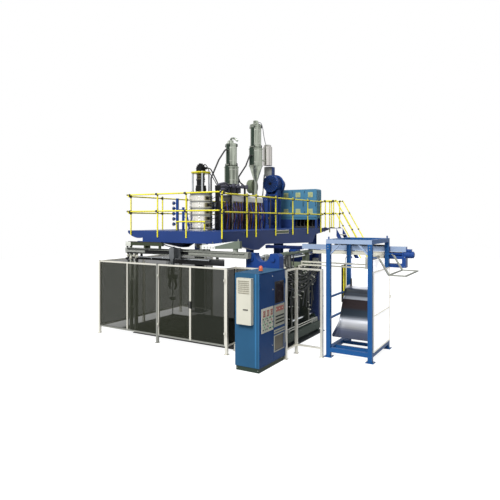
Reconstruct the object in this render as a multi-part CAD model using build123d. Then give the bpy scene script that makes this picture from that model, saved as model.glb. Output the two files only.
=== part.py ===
from build123d import *
import os
from math import cos, degrees, pi, radians, sin, tan

# Blow moulding machine with an accumulator head, a shuttling clamp and a take-out station.
# Lengths in millimetres, angles in degrees. Layout: X runs to the right along the front
# guard, Y runs away from it, Z is up, zero is the near bottom corner of the control cabinet.

# Clearances
RUN = 0.3
PIN_RUN = 0.1
SEAT = 0.3
DOOR_GAP = 2.5

# Control cabinet
CAB_W = 600
CAB_D = 1200
CAB_H = 2100
PLINTH_H = 100
PLINTH_INSET = 15
SHEET = 15
DOOR_T = 20
DOOR_SPLIT_Y = CAB_D * 8 / 15
BUTTON_R = 14
BUTTON_TRAVEL = 4

# Perimeter guard
POST = 60
RAIL = 40
GUARD_H = 2077
GUARD_BOTTOM_RAIL = 190
PANEL_T = 6
FOOT_PLATE = 110
FOOT_PLATE_T = 8
STILE = 25
LEAF_DEPTH = 40
GUARD_FRONT_Y = 836
GUARD_BACK_Y = 4460
GUARD_LEFT_X = -5760
GUARD_MID_X = -3570
GUARD_RIGHT_X = -1380
GUARD_LEFT_MID_Y = 2620
GUARD_BACK_END_X = -4400
GUARD_BACK_MULLION_X = -4650
GUARD_RETURN_Y = CAB_D + 40
BAY_X = 660

# Hinges of the guard leaves and the cabinet doors
KNUCKLE_R = 9
KNUCKLE_L = 55
PIN_R = 5

# Floor plate and shuttle track
FLOOR_PLATE_T = 12
TRACK_W = 50
TRACK_H = 60
TRACK_X = (-4500, -330)
TRACK_OFFSET = 1150
FLOOR_Y = (GUARD_RETURN_Y + FOOT_PLATE / 2, GUARD_BACK_Y - FOOT_PLATE / 2)

# Accumulator head and mould line
HEAD_X = -3770
MOULD_Y = 3000
HEAD_R = 330
HEAD_TOP = 4040
HEAD_FLANGE_R = 430
HEAD_FLANGE_T = 40
BAND_T = 20
BAND_H = 175
BAND_GAP = 28
BAND_COUNT = 5
DIE_BOTTOM = 2380
DIE_R = 190
PISTON_R = 45
PISTON_STROKE = 190
PISTON_BORE_DEPTH = 640
YOKE_RING_T = 45
YOKE_RING_R = 345
YOKE_COLUMN_R = 28
YOKE_COLUMN_PCD = 500
YOKE_TOP = 4700
YOKE_TOP_R = 300
YOKE_TOP_T = 50
SHOT_CYL_R = 105
SHOT_CYL_BOTTOM = 4300

# Clamp carriage
CLAMP_X = -860
CLAMP_W = 960
CROSSHEAD_T = 220
CROSSHEAD_FAR = 1340
CROSSHEAD_TOP = 2400
SADDLE_R = 215
BASE_Z = (110, 330)
SIDE_BEAM_W = 200
TIE_R = 40
TIE_OFFSET = 310
TIE_TOP_Z = 2260
TIE_LOW_Z = 560
PLATEN_W = 860
PLATEN_T = 80
PLATEN_RIB = 120
PLATEN_Z = (420, 2040)
PLATEN_LUG_R = 64
PLATEN_OPEN = 500
PLATEN_STROKE = 300
CLAMP_CYL_R = 115
CLAMP_CYL_L = 250
CLAMP_CYL_Z = 1230
CLAMP_ROD_R = 55
MOULD_BOLT_R = 10
MOULD_BOLT_X = 600
MOULD_BOLT_Z = 900
MOULD_BOLT_DEPTH = 50

# Platform
DECK_TOP = 2923
DECK_T = 12
DECK_X = (-5500, -2095)
DECK_Y = (1690, 9300)
REAR_COLUMN_Y = DECK_Y[1] - 1000
LEFT_GIRDER_X = -4910
GIRDER_BOTTOM = 2600
REAR_GIRDER_BOTTOM = 2770
OUTRIGGERS = ((2560, 2700), (2740, 2880))
HAUNCH_Y = (3400, 3640)
HAUNCH_Z = 2350
WEB_T = 15
FLANGE_W = 160
FLANGE_T = 20
COLUMN_W = 240
COLUMN_BASE = 460
COLUMN_BASE_T = 25
COLUMN_BOLT_R = 14
COLUMN_BOLT_SPACING = 360
COLUMNS = ((-5200, 4820), (-5200, REAR_COLUMN_Y), (-2380, 5460), (-2380, REAR_COLUMN_Y))

# Guard rail on the platform
RAIL_R = 21
RAIL_TOP = 4000
RAIL_MID = 3490
RAIL_FOOT = 2740
RAIL_OVERRUN = 110
RAIL_INSET = 145
RAIL_BAYS = 6
LOW_RAIL_X = (-4160, -3100)
LOW_RAIL_Y = 2300
LOW_RAIL_Z = 3187

# Stair
STAIR_Y = (DECK_Y[1] - 700, DECK_Y[1])
LANDING_X = -1520
STAIR_ANGLE = 60
TREAD_COUNT = 11

# Extruder
BARREL_Z = 3700
BARREL_R = 95
BARREL_Y = (3345, 6500)
BARREL_HEATER_R = 125
BARREL_HEATER_L = 330
BARREL_HEATER_COUNT = 5
SCREW_R = 55
COVER_W = 470
COVER_TOP = 4070
COVER_SIDE = 210
COVER_T = 8
COVER_Y = (4380, 6440)
GEARBOX_X = (-4080, -3400)
GEARBOX_Y = (6560, 7500)
GEARBOX_TOP = 4080
MOTOR_X = -3470
MOTOR_Z = 4590
MOTOR_R = 350
MOTOR_Y = (6880, 7330)
MOTOR_RIBS = 36
BELT_CASE_R = 225
BELT_CASE_Y = (GEARBOX_Y[1] + 60, GEARBOX_Y[1] + 190)

# Material handling
SIDE_LOADER_Y = 4700
SIDE_LOADER_R = (185, 235)
TALL_LOADER_Y = 6330
TALL_LOADER_R = (200, 245)
TALL_LOADER_TOP = 6690
FILTER_X = -3593
FILTER_Y = 6900
FILTER_R = 175
FILTER_Z = (TALL_LOADER_TOP - 1420, TALL_LOADER_TOP - 730)
BLOWER_X = -4010
BLOWER_Y = 6480
BLOWER_Z = 4480
BLOWER_R = 250
TRAY_TOP = 4380
TRAY_T = 60
THROAT_R = 60
PORT_L = 40
PORT_Z = 5560

# Take-out station
TUBE = 100
STATION_X = (726, 1824)
STATION_Y = (1917, 3450)
STATION_TOP = 2780
STATION_FOOT = 190
STATION_FOOT_T = 15
STATION_BOLT_R = 9
BAY_Y = STATION_Y[0] + (TUBE - STATION_FOOT - FOOT_PLATE) / 2
STATION_BOLT_SPACING = 140
CHUTE_T = 5
CHUTE_LIP_T = 6
AXIS_Y = 3620
AXIS_Z = (2430, 2560)
GUIDE_Z = (2312, 2412)

# Gantry in front of the head
GANTRY_Y = (1440, 1600)
GANTRY_Z = (2265, 2425)
GANTRY_JOINTS = (-4600, -3020)
CABLE_TRAY_X = (-5315, -3960)
CABLE_TRAY_Z = (2500, 2590)
LOWER_GUIDE_X = (-4980, -2070)
LOWER_GUIDE_Z = (2098, 2174)
ARM_X = (-2530, -1410)
GANTRY_X = (-5370, -1150)
GANTRY_BASE = 160
GANTRY_LEGS = (-5200, -5010)
FLOOR_X = (GANTRY_LEGS[1] + GANTRY_BASE / 2, -300)
GRIPPER_X = -3345
GRIPPER_Y = 1180

# Switch cabinet on the platform
SWITCH_X = (-3700, -2140)
SWITCH_Y = (DECK_Y[1] - 1140, DECK_Y[1] - 700)
SWITCH_Z = (3320, 4424)
SWITCH_DOORS = 3


def block(x, y, z):
    return Pos(sum(x) / 2, sum(y) / 2, sum(z) / 2) * Box(x[1] - x[0], y[1] - y[0], z[1] - z[0])


def around(centre, width):
    return (centre - width / 2, centre + width / 2)


def upright(x, y, z, radius):
    return Pos(x, y, sum(z) / 2) * Cylinder(radius, z[1] - z[0])


def along_x(x, y, z, radius):
    return Pos(sum(x) / 2, y, z) * Rot(0, 90, 0) * Cylinder(radius, x[1] - x[0])


def along_y(x, y, z, radius):
    return Pos(x, sum(y) / 2, z) * Rot(90, 0, 0) * Cylinder(radius, y[1] - y[0])


def turned(points):
    """A solid of revolution about Z from (radius, height) points."""
    outline = make_face(Polyline(*[(radius, 0, height) for radius, height in points], close=True))
    return revolve(outline, Axis.Z)


def plate_yz(points, x):
    """A flat plate cut to (Y, Z) points and spanning x."""
    face = make_face(Polyline(*[(x[0], y, z) for y, z in points], close=True))
    return extrude(face, x[1] - x[0], dir=(1, 0, 0))


def plate_xz(points, y):
    """A flat plate cut to (X, Z) points and spanning y."""
    face = make_face(Polyline(*[(x, y[0], z) for x, z in points], close=True))
    return extrude(face, y[1] - y[0], dir=(0, 1, 0))


def hose(points, radii, radius):
    path = FilletPolyline(*points, radius=radii)
    profile = Plane(origin=path @ 0, z_dir=path % 0) * Circle(radius)
    return sweep(profile, path)


def mitred_tube(points, radius):
    """Straight tubes between the points, cut to the planes that halve their corners."""
    corners = [Vector(*point) for point in points]
    runs = [(end - start).normalized() for start, end in zip(corners[:-1], corners[1:])]
    tubes = []
    for number, run in enumerate(runs):
        first = number == 0
        last = number == len(runs) - 1
        start = corners[number] - (Vector() if first else run * radius * 2)
        end = corners[number + 1] + (Vector() if last else run * radius * 2)
        tube = extrude(Plane(origin=start, z_dir=run) * Circle(radius), (end - start).length)
        if not first:
            joint = Plane(origin=corners[number], z_dir=run + runs[number - 1])
            tube = split(tube, joint, keep=Keep.TOP)
        if not last:
            joint = Plane(origin=corners[number + 1], z_dir=run + runs[number + 1])
            tube = split(tube, joint, keep=Keep.BOTTOM)
        tubes.append(tube)
    return tubes


def lift_off_hinge(place, fixed_pad, moving_pad):
    """Lower knuckle with its pin and upper knuckle with its bore, about a local Z axis."""
    upper = (KNUCKLE_L + SEAT, 2 * KNUCKLE_L)
    fixed = upright(0, 0, (0, KNUCKLE_L), KNUCKLE_R) + upright(0, 0, (0, 2 * KNUCKLE_L - 8), PIN_R)
    fixed += block(fixed_pad[0], fixed_pad[1], (4, KNUCKLE_L - 4)) - upright(
        0, 0, (0, KNUCKLE_L), KNUCKLE_R / 2)
    moving = upright(0, 0, upper, KNUCKLE_R)
    moving += block(moving_pad[0], moving_pad[1], (upper[0] + 4, upper[1] - 4))
    moving -= upright(0, 0, (KNUCKLE_L, 2 * KNUCKLE_L - 6), PIN_R + PIN_RUN)
    return place * fixed, place * moving


nodes = {}


def add(name, *solids):
    nodes.setdefault(name, []).extend(solids)


# Perimeter guard

def guard_post(x, y):
    add("fence_frame", block(around(x, POST), around(y, POST), (FOOT_PLATE_T, GUARD_H)))
    add("fence_frame", block(around(x, FOOT_PLATE), around(y, FOOT_PLATE), (0, FOOT_PLATE_T)))


def guard_bay(start, end, mullions=(), panel="fence_panels"):
    """Top and bottom rail, mullions and infill sheet between two posts on a common line."""
    runs_x = start[1] == end[1]
    line = start[1] if runs_x else start[0]
    low, high = (start[0], end[0]) if runs_x else (start[1], end[1])
    span = (low + POST / 2, high - POST / 2)

    def piece(run, depth, z):
        if runs_x:
            return block(run, around(line, depth), z)
        return block(around(line, depth), run, z)

    top = (GUARD_H - RAIL, GUARD_H)
    bottom = (GUARD_BOTTOM_RAIL, GUARD_BOTTOM_RAIL + RAIL)
    add("fence_frame", piece(span, RAIL, top), piece(span, RAIL, bottom))
    edges = [span[0]]
    for mullion in mullions:
        add("fence_frame", piece(around(mullion, RAIL), RAIL, (bottom[1], top[0])))
        edges += [mullion - RAIL / 2, mullion + RAIL / 2]
    edges.append(span[1])
    for left, right in zip(edges[0::2], edges[1::2]):
        add(panel, piece((left, right), PANEL_T, (bottom[1], top[0])))


def perimeter_guard():
    for x in (GUARD_LEFT_X, GUARD_MID_X, GUARD_RIGHT_X):
        guard_post(x, GUARD_FRONT_Y)
    guard_post(GUARD_LEFT_X, GUARD_LEFT_MID_Y)
    for x in (GUARD_LEFT_X, GUARD_BACK_END_X):
        guard_post(x, GUARD_BACK_Y)
    guard_post(GUARD_RIGHT_X, GUARD_RETURN_Y)
    guard_post(0, GUARD_RETURN_Y)
    guard_post(0, BAY_Y)
    guard_post(BAY_X, BAY_Y)
    middle = (GUARD_LEFT_X + GUARD_MID_X) / 2
    guard_bay((GUARD_LEFT_X, GUARD_FRONT_Y), (GUARD_MID_X, GUARD_FRONT_Y), (middle,))
    guard_bay((GUARD_LEFT_X, GUARD_FRONT_Y), (GUARD_LEFT_X, GUARD_LEFT_MID_Y))
    guard_bay((GUARD_LEFT_X, GUARD_LEFT_MID_Y), (GUARD_LEFT_X, GUARD_BACK_Y))
    guard_bay((GUARD_LEFT_X, GUARD_BACK_Y), (GUARD_BACK_END_X, GUARD_BACK_Y),
              (GUARD_BACK_MULLION_X,))
    guard_bay((GUARD_RIGHT_X, GUARD_FRONT_Y), (GUARD_RIGHT_X, GUARD_RETURN_Y))
    guard_bay((GUARD_RIGHT_X, GUARD_RETURN_Y), (0, GUARD_RETURN_Y), (-CAB_W,))
    guard_bay((0, GUARD_RETURN_Y), (0, BAY_Y))
    guard_bay((0, BAY_Y), (BAY_X, BAY_Y), panel="clear_panels")


GUARD_HINGE_Y = GUARD_FRONT_Y - POST / 2 - KNUCKLE_R - 2
LEFT_HINGE_X = GUARD_MID_X + POST / 2 + DOOR_GAP
RIGHT_HINGE_X = GUARD_RIGHT_X - POST / 2 - DOOR_GAP
LEAF_MEET_X = (GUARD_MID_X + GUARD_RIGHT_X) / 2


def guard_leaf(frame_name, panel_name, hinge_x, meet_x):
    """One hinged leaf between its post and the meeting line."""
    side = 1 if meet_x > hinge_x else -1
    hung, free = hinge_x + side * DOOR_GAP, meet_x - side * 2
    y = around(GUARD_FRONT_Y, LEAF_DEPTH)
    z = (GUARD_BOTTOM_RAIL, GUARD_H)
    x = tuple(sorted((hung, free)))
    inner = (x[0] + STILE, x[1] - STILE)
    frame = block(x, y, z) - block(inner, y, (z[0] + RAIL, z[1] - RAIL))
    post_face = GUARD_FRONT_Y - POST / 2
    leaf_face = y[0]
    fixed_x = tuple(sorted((-side * 30, 0)))
    moving_x = tuple(sorted((side * 30, 0)))
    for height in (420, 1700):
        place = Pos(hinge_x, GUARD_HINGE_Y, height)
        fixed, moving = lift_off_hinge(
            place,
            (fixed_x, (0, post_face - GUARD_HINGE_Y)),
            (moving_x, (0, leaf_face - GUARD_HINGE_Y)))
        add("fence_frame", fixed)
        frame += moving
    add(frame_name, frame)
    add(panel_name, block(inner, around(GUARD_FRONT_Y, PANEL_T), (z[0] + RAIL, z[1] - RAIL)))


# Floor plate and track

TRACK_TOP = FLOOR_PLATE_T + TRACK_H


def floor_track():
    add("floor_track", block(FLOOR_X, FLOOR_Y, (0, FLOOR_PLATE_T)))
    for side in (-1, 1):
        y = around(MOULD_Y + side * TRACK_OFFSET, TRACK_W)
        add("floor_track", block(TRACK_X, y, (FLOOR_PLATE_T, TRACK_TOP)))
        for x in TRACK_X:
            inward = 1 if x == TRACK_X[0] else -1
            stop = tuple(sorted((x, x - inward * 25)))
            add("floor_track", block(stop, around(sum(y) / 2, 90), (FLOOR_PLATE_T, TRACK_TOP + 30)))


# Clamp carriage

CLAMP_SPAN = around(CLAMP_X, CLAMP_W)
FRONT_CROSSHEAD = (MOULD_Y - CROSSHEAD_FAR, MOULD_Y - CROSSHEAD_FAR + CROSSHEAD_T)
REAR_CROSSHEAD = (MOULD_Y + CROSSHEAD_FAR - CROSSHEAD_T, MOULD_Y + CROSSHEAD_FAR)
TIE_PLACES = [(CLAMP_X + side * TIE_OFFSET, z) for side in (-1, 1) for z in (TIE_TOP_Z, TIE_LOW_Z)]
SHUTTLE_TRAVEL = CLAMP_X - HEAD_X


def crosshead(y):
    """Thick end plate with two horns, and a saddle between them that clears the parison."""
    x0, x1 = CLAMP_SPAN
    chamfer_w = 60
    outline = [(x0, BASE_Z[1]), (x1, BASE_Z[1]), (x1, CROSSHEAD_TOP - chamfer_w),
               (x1 - chamfer_w, CROSSHEAD_TOP), (x0 + chamfer_w, CROSSHEAD_TOP),
               (x0, CROSSHEAD_TOP - chamfer_w)]
    plate = plate_xz(outline, y)
    plate -= along_y(CLAMP_X, y, CROSSHEAD_TOP, SADDLE_R)
    for x, z in TIE_PLACES:
        plate -= along_y(x, y, z, TIE_R)
    return plate - along_y(CLAMP_X, y, CLAMP_CYL_Z, CLAMP_ROD_R + RUN)


def runner(x, y):
    """Carriage shoe that straddles one rail of the track."""
    shoe = block(around(x, 280), around(y, 120), (TRACK_TOP - 45, BASE_Z[0]))
    return shoe - block(around(x, 280), around(y, TRACK_W + 2 * SEAT), (0, TRACK_TOP + SEAT))


def clamp():
    x0, x1 = CLAMP_SPAN
    y = (FRONT_CROSSHEAD[0], REAR_CROSSHEAD[1])
    for side in ((x0, x0 + SIDE_BEAM_W), (x1 - SIDE_BEAM_W, x1)):
        add("clamp_frame", block(side, y, BASE_Z))
    for cross in (FRONT_CROSSHEAD, around(MOULD_Y, CROSSHEAD_T), REAR_CROSSHEAD):
        add("clamp_frame", block((x0 + SIDE_BEAM_W, x1 - SIDE_BEAM_W), cross, BASE_Z))
    add("clamp_frame", crosshead(FRONT_CROSSHEAD), crosshead(REAR_CROSSHEAD))
    for x in (x0 + 150, x1 - 150):
        for side in (-1, 1):
            add("clamp_frame", runner(x, MOULD_Y + side * TRACK_OFFSET))
    for x, z in TIE_PLACES:
        add("tie_rods", along_y(x, (y[0] - 20, y[1] + 20), z, TIE_R))
    for end, out in ((FRONT_CROSSHEAD[0], -1), (REAR_CROSSHEAD[1], 1)):
        reach = tuple(sorted((end, end + out * CLAMP_CYL_L)))
        bore = tuple(sorted((end, end + out * (CLAMP_CYL_L - 40))))
        barrel = along_y(CLAMP_X, reach, CLAMP_CYL_Z, CLAMP_CYL_R)
        barrel -= along_y(CLAMP_X, bore, CLAMP_CYL_Z, CLAMP_ROD_R + RUN)
        add("clamp_cylinders", barrel)
    platen("front_platen", -1)
    platen("rear_platen", 1)


def platen(name, side):
    """Ribbed mould platen that slides on the four tie rods; side is its side of the mould line."""
    face = MOULD_Y + side * PLATEN_OPEN
    back = face + side * PLATEN_T
    rib_end = back + side * PLATEN_RIB
    body_y = tuple(sorted((face, back)))
    rib_y = tuple(sorted((back, rib_end)))
    full_y = tuple(sorted((face, rib_end)))
    solid = block(around(CLAMP_X, PLATEN_W), body_y, PLATEN_Z)
    for x in (-TIE_OFFSET, -105, 105, TIE_OFFSET):
        solid += block(around(CLAMP_X + x, 50), rib_y, PLATEN_Z)
    for z in (PLATEN_Z[0] + 25, CLAMP_CYL_Z, PLATEN_Z[1] - 25):
        solid += block(around(CLAMP_X, PLATEN_W), rib_y, around(z, 50))
    for x, z in TIE_PLACES:
        solid += along_y(x, full_y, z, PLATEN_LUG_R)
        if z > PLATEN_Z[1]:
            solid += block(around(x, 2 * PLATEN_LUG_R), full_y, (PLATEN_Z[1] - 1, z))
    solid += along_y(CLAMP_X, rib_y, CLAMP_CYL_Z, CLAMP_ROD_R + 45)
    for x, z in TIE_PLACES:
        solid -= along_y(x, full_y, z, TIE_R + RUN)
    cylinder_end = MOULD_Y + side * (CROSSHEAD_FAR + CLAMP_CYL_L - 50)
    solid += along_y(CLAMP_X, tuple(sorted((back, cylinder_end))), CLAMP_CYL_Z, CLAMP_ROD_R)
    for x in (-1, 1):
        for z in (-1, 1):
            depth = tuple(sorted((face, face + side * MOULD_BOLT_DEPTH)))
            solid -= along_y(CLAMP_X + x * MOULD_BOLT_X / 2, depth,
                             sum(PLATEN_Z) / 2 + z * MOULD_BOLT_Z / 2, MOULD_BOLT_R)
    add(name, solid)


# Platform

def girder_underside():
    return [(DECK_Y[0], GIRDER_BOTTOM), (DECK_Y[0] + 420, GIRDER_BOTTOM), (HAUNCH_Y[0], HAUNCH_Z),
            (HAUNCH_Y[1], HAUNCH_Z), (4070, 2500), (DECK_Y[1] - 1660, 2400),
            (DECK_Y[1] - 1370, 2690), (DECK_Y[1], 2850)]


def side_girder(x, inward):
    """Profiled web with flange strips that follow its lower edge and a top flange."""
    web = tuple(sorted((x, x + inward * WEB_T)))
    inner = tuple(sorted((x + inward * WEB_T, x + inward * FLANGE_W)))
    top = DECK_TOP - DECK_T
    under = girder_underside()
    for (y0, z0), (y1, z1) in zip(under[:-1], under[1:]):
        strip = [(y0, z0), (y1, z1), (y1, z1 + FLANGE_T), (y0, z0 + FLANGE_T)]
        add("platform_girders", plate_yz([(y0, z0), (y1, z1), (y1, top), (y0, top)], web))
        add("platform_girders", plate_yz(strip, inner))
    add("platform_girders", block(inner, DECK_Y, (top - FLANGE_T, top)))


def cross_girder(y, x, bottom):
    top = DECK_TOP - DECK_T
    add("platform_girders", block(x, around(y, WEB_T), (bottom + FLANGE_T, top - FLANGE_T)))
    for z in ((bottom, bottom + FLANGE_T), (top - FLANGE_T, top)):
        add("platform_girders", block(x, around(y, FLANGE_W), z))


def front_girder():
    """Smooth front plate whose lower flange runs a little past the left girder."""
    top = DECK_TOP - DECK_T
    x = (LEFT_GIRDER_X, DECK_X[1])
    add("platform_girders", block(x, (DECK_Y[0] - WEB_T, DECK_Y[0]), (GIRDER_BOTTOM, top)))
    lower = [(x[0] - 190, GIRDER_BOTTOM), (x[1], GIRDER_BOTTOM), (x[1], GIRDER_BOTTOM + FLANGE_T),
             (x[0] - 150, GIRDER_BOTTOM + FLANGE_T)]
    add("platform_girders", plate_xz(lower, (DECK_Y[0] - WEB_T - 45, DECK_Y[0] - WEB_T)))


def overhang_bracket(y):
    """Plate that carries the deck past the left girder, hollowed below by a quarter curve."""
    top = DECK_TOP - DECK_T
    reach = DECK_X[0] - LEFT_GIRDER_X
    outline = make_face(Curve() + [
        Polyline((LEFT_GIRDER_X, y, 2720), (LEFT_GIRDER_X, y, top),
                 (LEFT_GIRDER_X + reach, y, top), (LEFT_GIRDER_X + reach, y, top - 50)),
        ThreePointArc((LEFT_GIRDER_X + reach, y, top - 50),
                      (LEFT_GIRDER_X + reach * 0.72, y, top - 150),
                      (LEFT_GIRDER_X, y, 2720))])
    return extrude(outline, WEB_T, dir=(0, 1, 0))


def platform():
    side_girder(DECK_X[1], -1)
    side_girder(LEFT_GIRDER_X, 1)
    front_girder()
    inner = (LEFT_GIRDER_X + FLANGE_W, DECK_X[1] - FLANGE_W)
    for y in (2350, 3800, 5460, 6900):
        cross_girder(y, inner, GIRDER_BOTTOM)
    for y in (REAR_COLUMN_Y, DECK_Y[1] - FLANGE_W / 2):
        cross_girder(y, inner, REAR_GIRDER_BOTTOM)
    for y in (DECK_Y[0] - WEB_T, 3200, 4820, 6500, REAR_COLUMN_Y - 400, DECK_Y[1] - WEB_T):
        add("platform_girders", overhang_bracket(y))
    edge = (DECK_TOP - DECK_T - 50, DECK_TOP - DECK_T)
    add("platform_girders", block((DECK_X[0] - WEB_T, DECK_X[0]), DECK_Y, edge))
    for (x, y), z in zip(COLUMNS, OUTRIGGERS):
        add("platform_girders", block((x - 150, LEFT_GIRDER_X), around(y, FLANGE_W), z))
    opening = upright(HEAD_X, MOULD_Y, (0, DECK_TOP), HEAD_R + 40)
    deck = block(DECK_X, (DECK_Y[0] - WEB_T, DECK_Y[1]), (DECK_TOP - DECK_T, DECK_TOP))
    add("platform_girders", deck - opening)


def column_top(x, y):
    """Height of the girder's underside above a column."""
    front = y < 7700
    if x < LEFT_GIRDER_X:
        return OUTRIGGERS[0 if front else 1][0]
    return GIRDER_BOTTOM if front else REAR_GIRDER_BOTTOM


def columns():
    for x, y in COLUMNS:
        top = column_top(x, y)
        flange_t = 16
        cap = (top - COLUMN_BASE_T, top)
        base = block(around(x, COLUMN_BASE), around(y, COLUMN_BASE), (0, COLUMN_BASE_T))
        for dx in (-1, 1):
            for dy in (-1, 1):
                base -= upright(x + dx * COLUMN_BOLT_SPACING / 2, y + dy * COLUMN_BOLT_SPACING / 2,
                                (0, COLUMN_BASE_T), COLUMN_BOLT_R)
        z = (COLUMN_BASE_T, cap[0])
        add("platform_columns", base, block(around(x, COLUMN_W), around(y, COLUMN_W), cap))
        for side in (-1, 1):
            flange = around(y + side * (COLUMN_W - flange_t) / 2, flange_t)
            add("platform_columns", block(around(x, COLUMN_W), flange, z))
        add("platform_columns", block(around(x, 12), around(y, COLUMN_W - 2 * flange_t), z))


FRONT_RAIL_Y = DECK_Y[0] - WEB_T - RAIL_R
RIGHT_RAIL_X = DECK_X[1] + RAIL_R
LEFT_RAIL_X = DECK_X[0] + RAIL_INSET
BACK_RAIL_Y = DECK_Y[1] + RAIL_R
LEFT_CORNER_FOOT = 2790


def rail_posts(low, high, bays):
    """Places of the posts between two corner posts."""
    pitch = (high - low) / bays
    return [low + pitch * number for number in range(1, bays)]


def guard_rails():
    """Posts stand against the girder faces, rails run past the corner posts on their outside."""
    foot = (RAIL_FOOT, RAIL_TOP)
    for x in (-4310, -3270):
        add("guard_rails", upright(x, FRONT_RAIL_Y, foot, RAIL_R))
        add("guard_rails", upright(x, BACK_RAIL_Y, foot, RAIL_R))
    for y in [2920] + rail_posts(FRONT_RAIL_Y + 545, BACK_RAIL_Y + 330, RAIL_BAYS):
        add("guard_rails", upright(RIGHT_RAIL_X, y, foot, RAIL_R))
    for y in rail_posts(FRONT_RAIL_Y + 145, BACK_RAIL_Y, RAIL_BAYS):
        add("guard_rails", upright(LEFT_RAIL_X, y, (DECK_TOP, RAIL_TOP), RAIL_R))
    for y in (FRONT_RAIL_Y, BACK_RAIL_Y):
        add("guard_rails", upright(LEFT_RAIL_X, y, (LEFT_CORNER_FOOT, RAIL_TOP), RAIL_R))
        add("guard_rails", upright(RIGHT_RAIL_X, y, foot, RAIL_R))
    inset = 2 * RAIL_R
    for z in (RAIL_TOP - RAIL_R, RAIL_MID):
        x = (LEFT_RAIL_X - RAIL_OVERRUN, RIGHT_RAIL_X + RAIL_OVERRUN)
        y = (FRONT_RAIL_Y + inset - RAIL_OVERRUN, STAIR_Y[0] - 60)
        add("guard_rails", along_x(x, FRONT_RAIL_Y - inset, z, RAIL_R))
        add("guard_rails", along_y(RIGHT_RAIL_X + inset, y, z - inset, RAIL_R))
        y = (FRONT_RAIL_Y + inset - RAIL_OVERRUN, BACK_RAIL_Y + RAIL_OVERRUN)
        add("guard_rails", along_y(LEFT_RAIL_X - inset, y, z - inset, RAIL_R))
        add("guard_rails", along_x(x, BACK_RAIL_Y + inset, z, RAIL_R))
    add("guard_rails", along_x(LOW_RAIL_X, LOW_RAIL_Y, LOW_RAIL_Z, RAIL_R))
    for x in (LOW_RAIL_X[0] + RAIL_R, LOW_RAIL_X[1] - RAIL_R):
        add("guard_rails", upright(x, LOW_RAIL_Y, (DECK_TOP, LOW_RAIL_Z - RAIL_R), RAIL_R))


def stair():
    """Steep flight from a landing at the rear right corner, with plate treads and hand rails."""
    y = STAIR_Y
    top = DECK_TOP
    landing = (DECK_X[1], LANDING_X)
    add("stair", block(landing, y, (top - DECK_T, top)))
    run = (top - DECK_T) / tan(radians(STAIR_ANGLE))
    foot_x = LANDING_X + run
    depth = 180
    for side in (y[0], y[1] - 12):
        outline = [(LANDING_X, top - DECK_T), (LANDING_X, top - DECK_T - depth * 1.6),
                   (foot_x - depth * 0.9, 0), (foot_x, 0)]
        add("stair", plate_xz(outline, (side, side + 12)))
    rise = top / (TREAD_COUNT + 1)
    for step in range(1, TREAD_COUNT + 1):
        z = top - step * rise
        x = LANDING_X + (top - z) / tan(radians(STAIR_ANGLE))
        add("stair", block((x - 150, x - 5), (y[0] + 12, y[1] - 12), (z - 30, z)))
    rail_start = RIGHT_RAIL_X + RAIL_R + 14
    leg_x = foot_x - 300
    fall = (leg_x - LANDING_X) * tan(radians(STAIR_ANGLE))
    for side, inward in ((y[0] - RAIL_R, 1), (y[1] + RAIL_R, -1)):
        z = RAIL_TOP - RAIL_R
        hand = [(rail_start, side, z), (LANDING_X, side, z), (leg_x, side, z - fall), (leg_x, side, 60)]
        add("guard_rails", *mitred_tube(hand, RAIL_R))
        z = RAIL_MID
        end_x = leg_x - 2 * RAIL_R
        drop = (end_x - LANDING_X) * tan(radians(STAIR_ANGLE))
        middle = [(rail_start, side, z), (LANDING_X, side, z), (end_x, side, z - drop)]
        add("guard_rails", *mitred_tube(middle, RAIL_R))
        for x in (rail_start + 60, LANDING_X - 120):
            add("guard_rails", upright(x, side + inward * 2 * RAIL_R, (top, RAIL_TOP), RAIL_R))


# Accumulator head

def place_on_head(solid):
    return Pos(HEAD_X, MOULD_Y, 0) * solid


def accumulator_head():
    bore_r = PISTON_R + RUN
    floor = HEAD_TOP - PISTON_BORE_DEPTH
    body = turned([(0, DIE_BOTTOM + 180), (DIE_R + 40, DIE_BOTTOM + 180), (HEAD_R, DECK_TOP - 120),
                   (HEAD_R, DECK_TOP), (HEAD_FLANGE_R, DECK_TOP),
                   (HEAD_FLANGE_R, DECK_TOP + HEAD_FLANGE_T), (HEAD_R, DECK_TOP + HEAD_FLANGE_T),
                   (HEAD_R, HEAD_TOP), (bore_r, HEAD_TOP), (bore_r, floor), (0, floor)])
    add("accumulator_head", place_on_head(body))
    for band in range(BAND_COUNT):
        low = DECK_TOP + HEAD_FLANGE_T + BAND_GAP + band * (BAND_H + BAND_GAP)
        ring = Cylinder(HEAD_R + BAND_T, BAND_H) - Cylinder(HEAD_R, BAND_H)
        add("heater_bands", place_on_head(Pos(0, 0, low + BAND_H / 2) * ring))
    die = turned([(0, DIE_BOTTOM + 20), (60, DIE_BOTTOM), (DIE_R - 60, DIE_BOTTOM),
                  (DIE_R - 40, DIE_BOTTOM + 60), (DIE_R, DIE_BOTTOM + 60), (DIE_R, DIE_BOTTOM + 180),
                  (0, DIE_BOTTOM + 180)])
    add("die_head", place_on_head(die))


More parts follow.
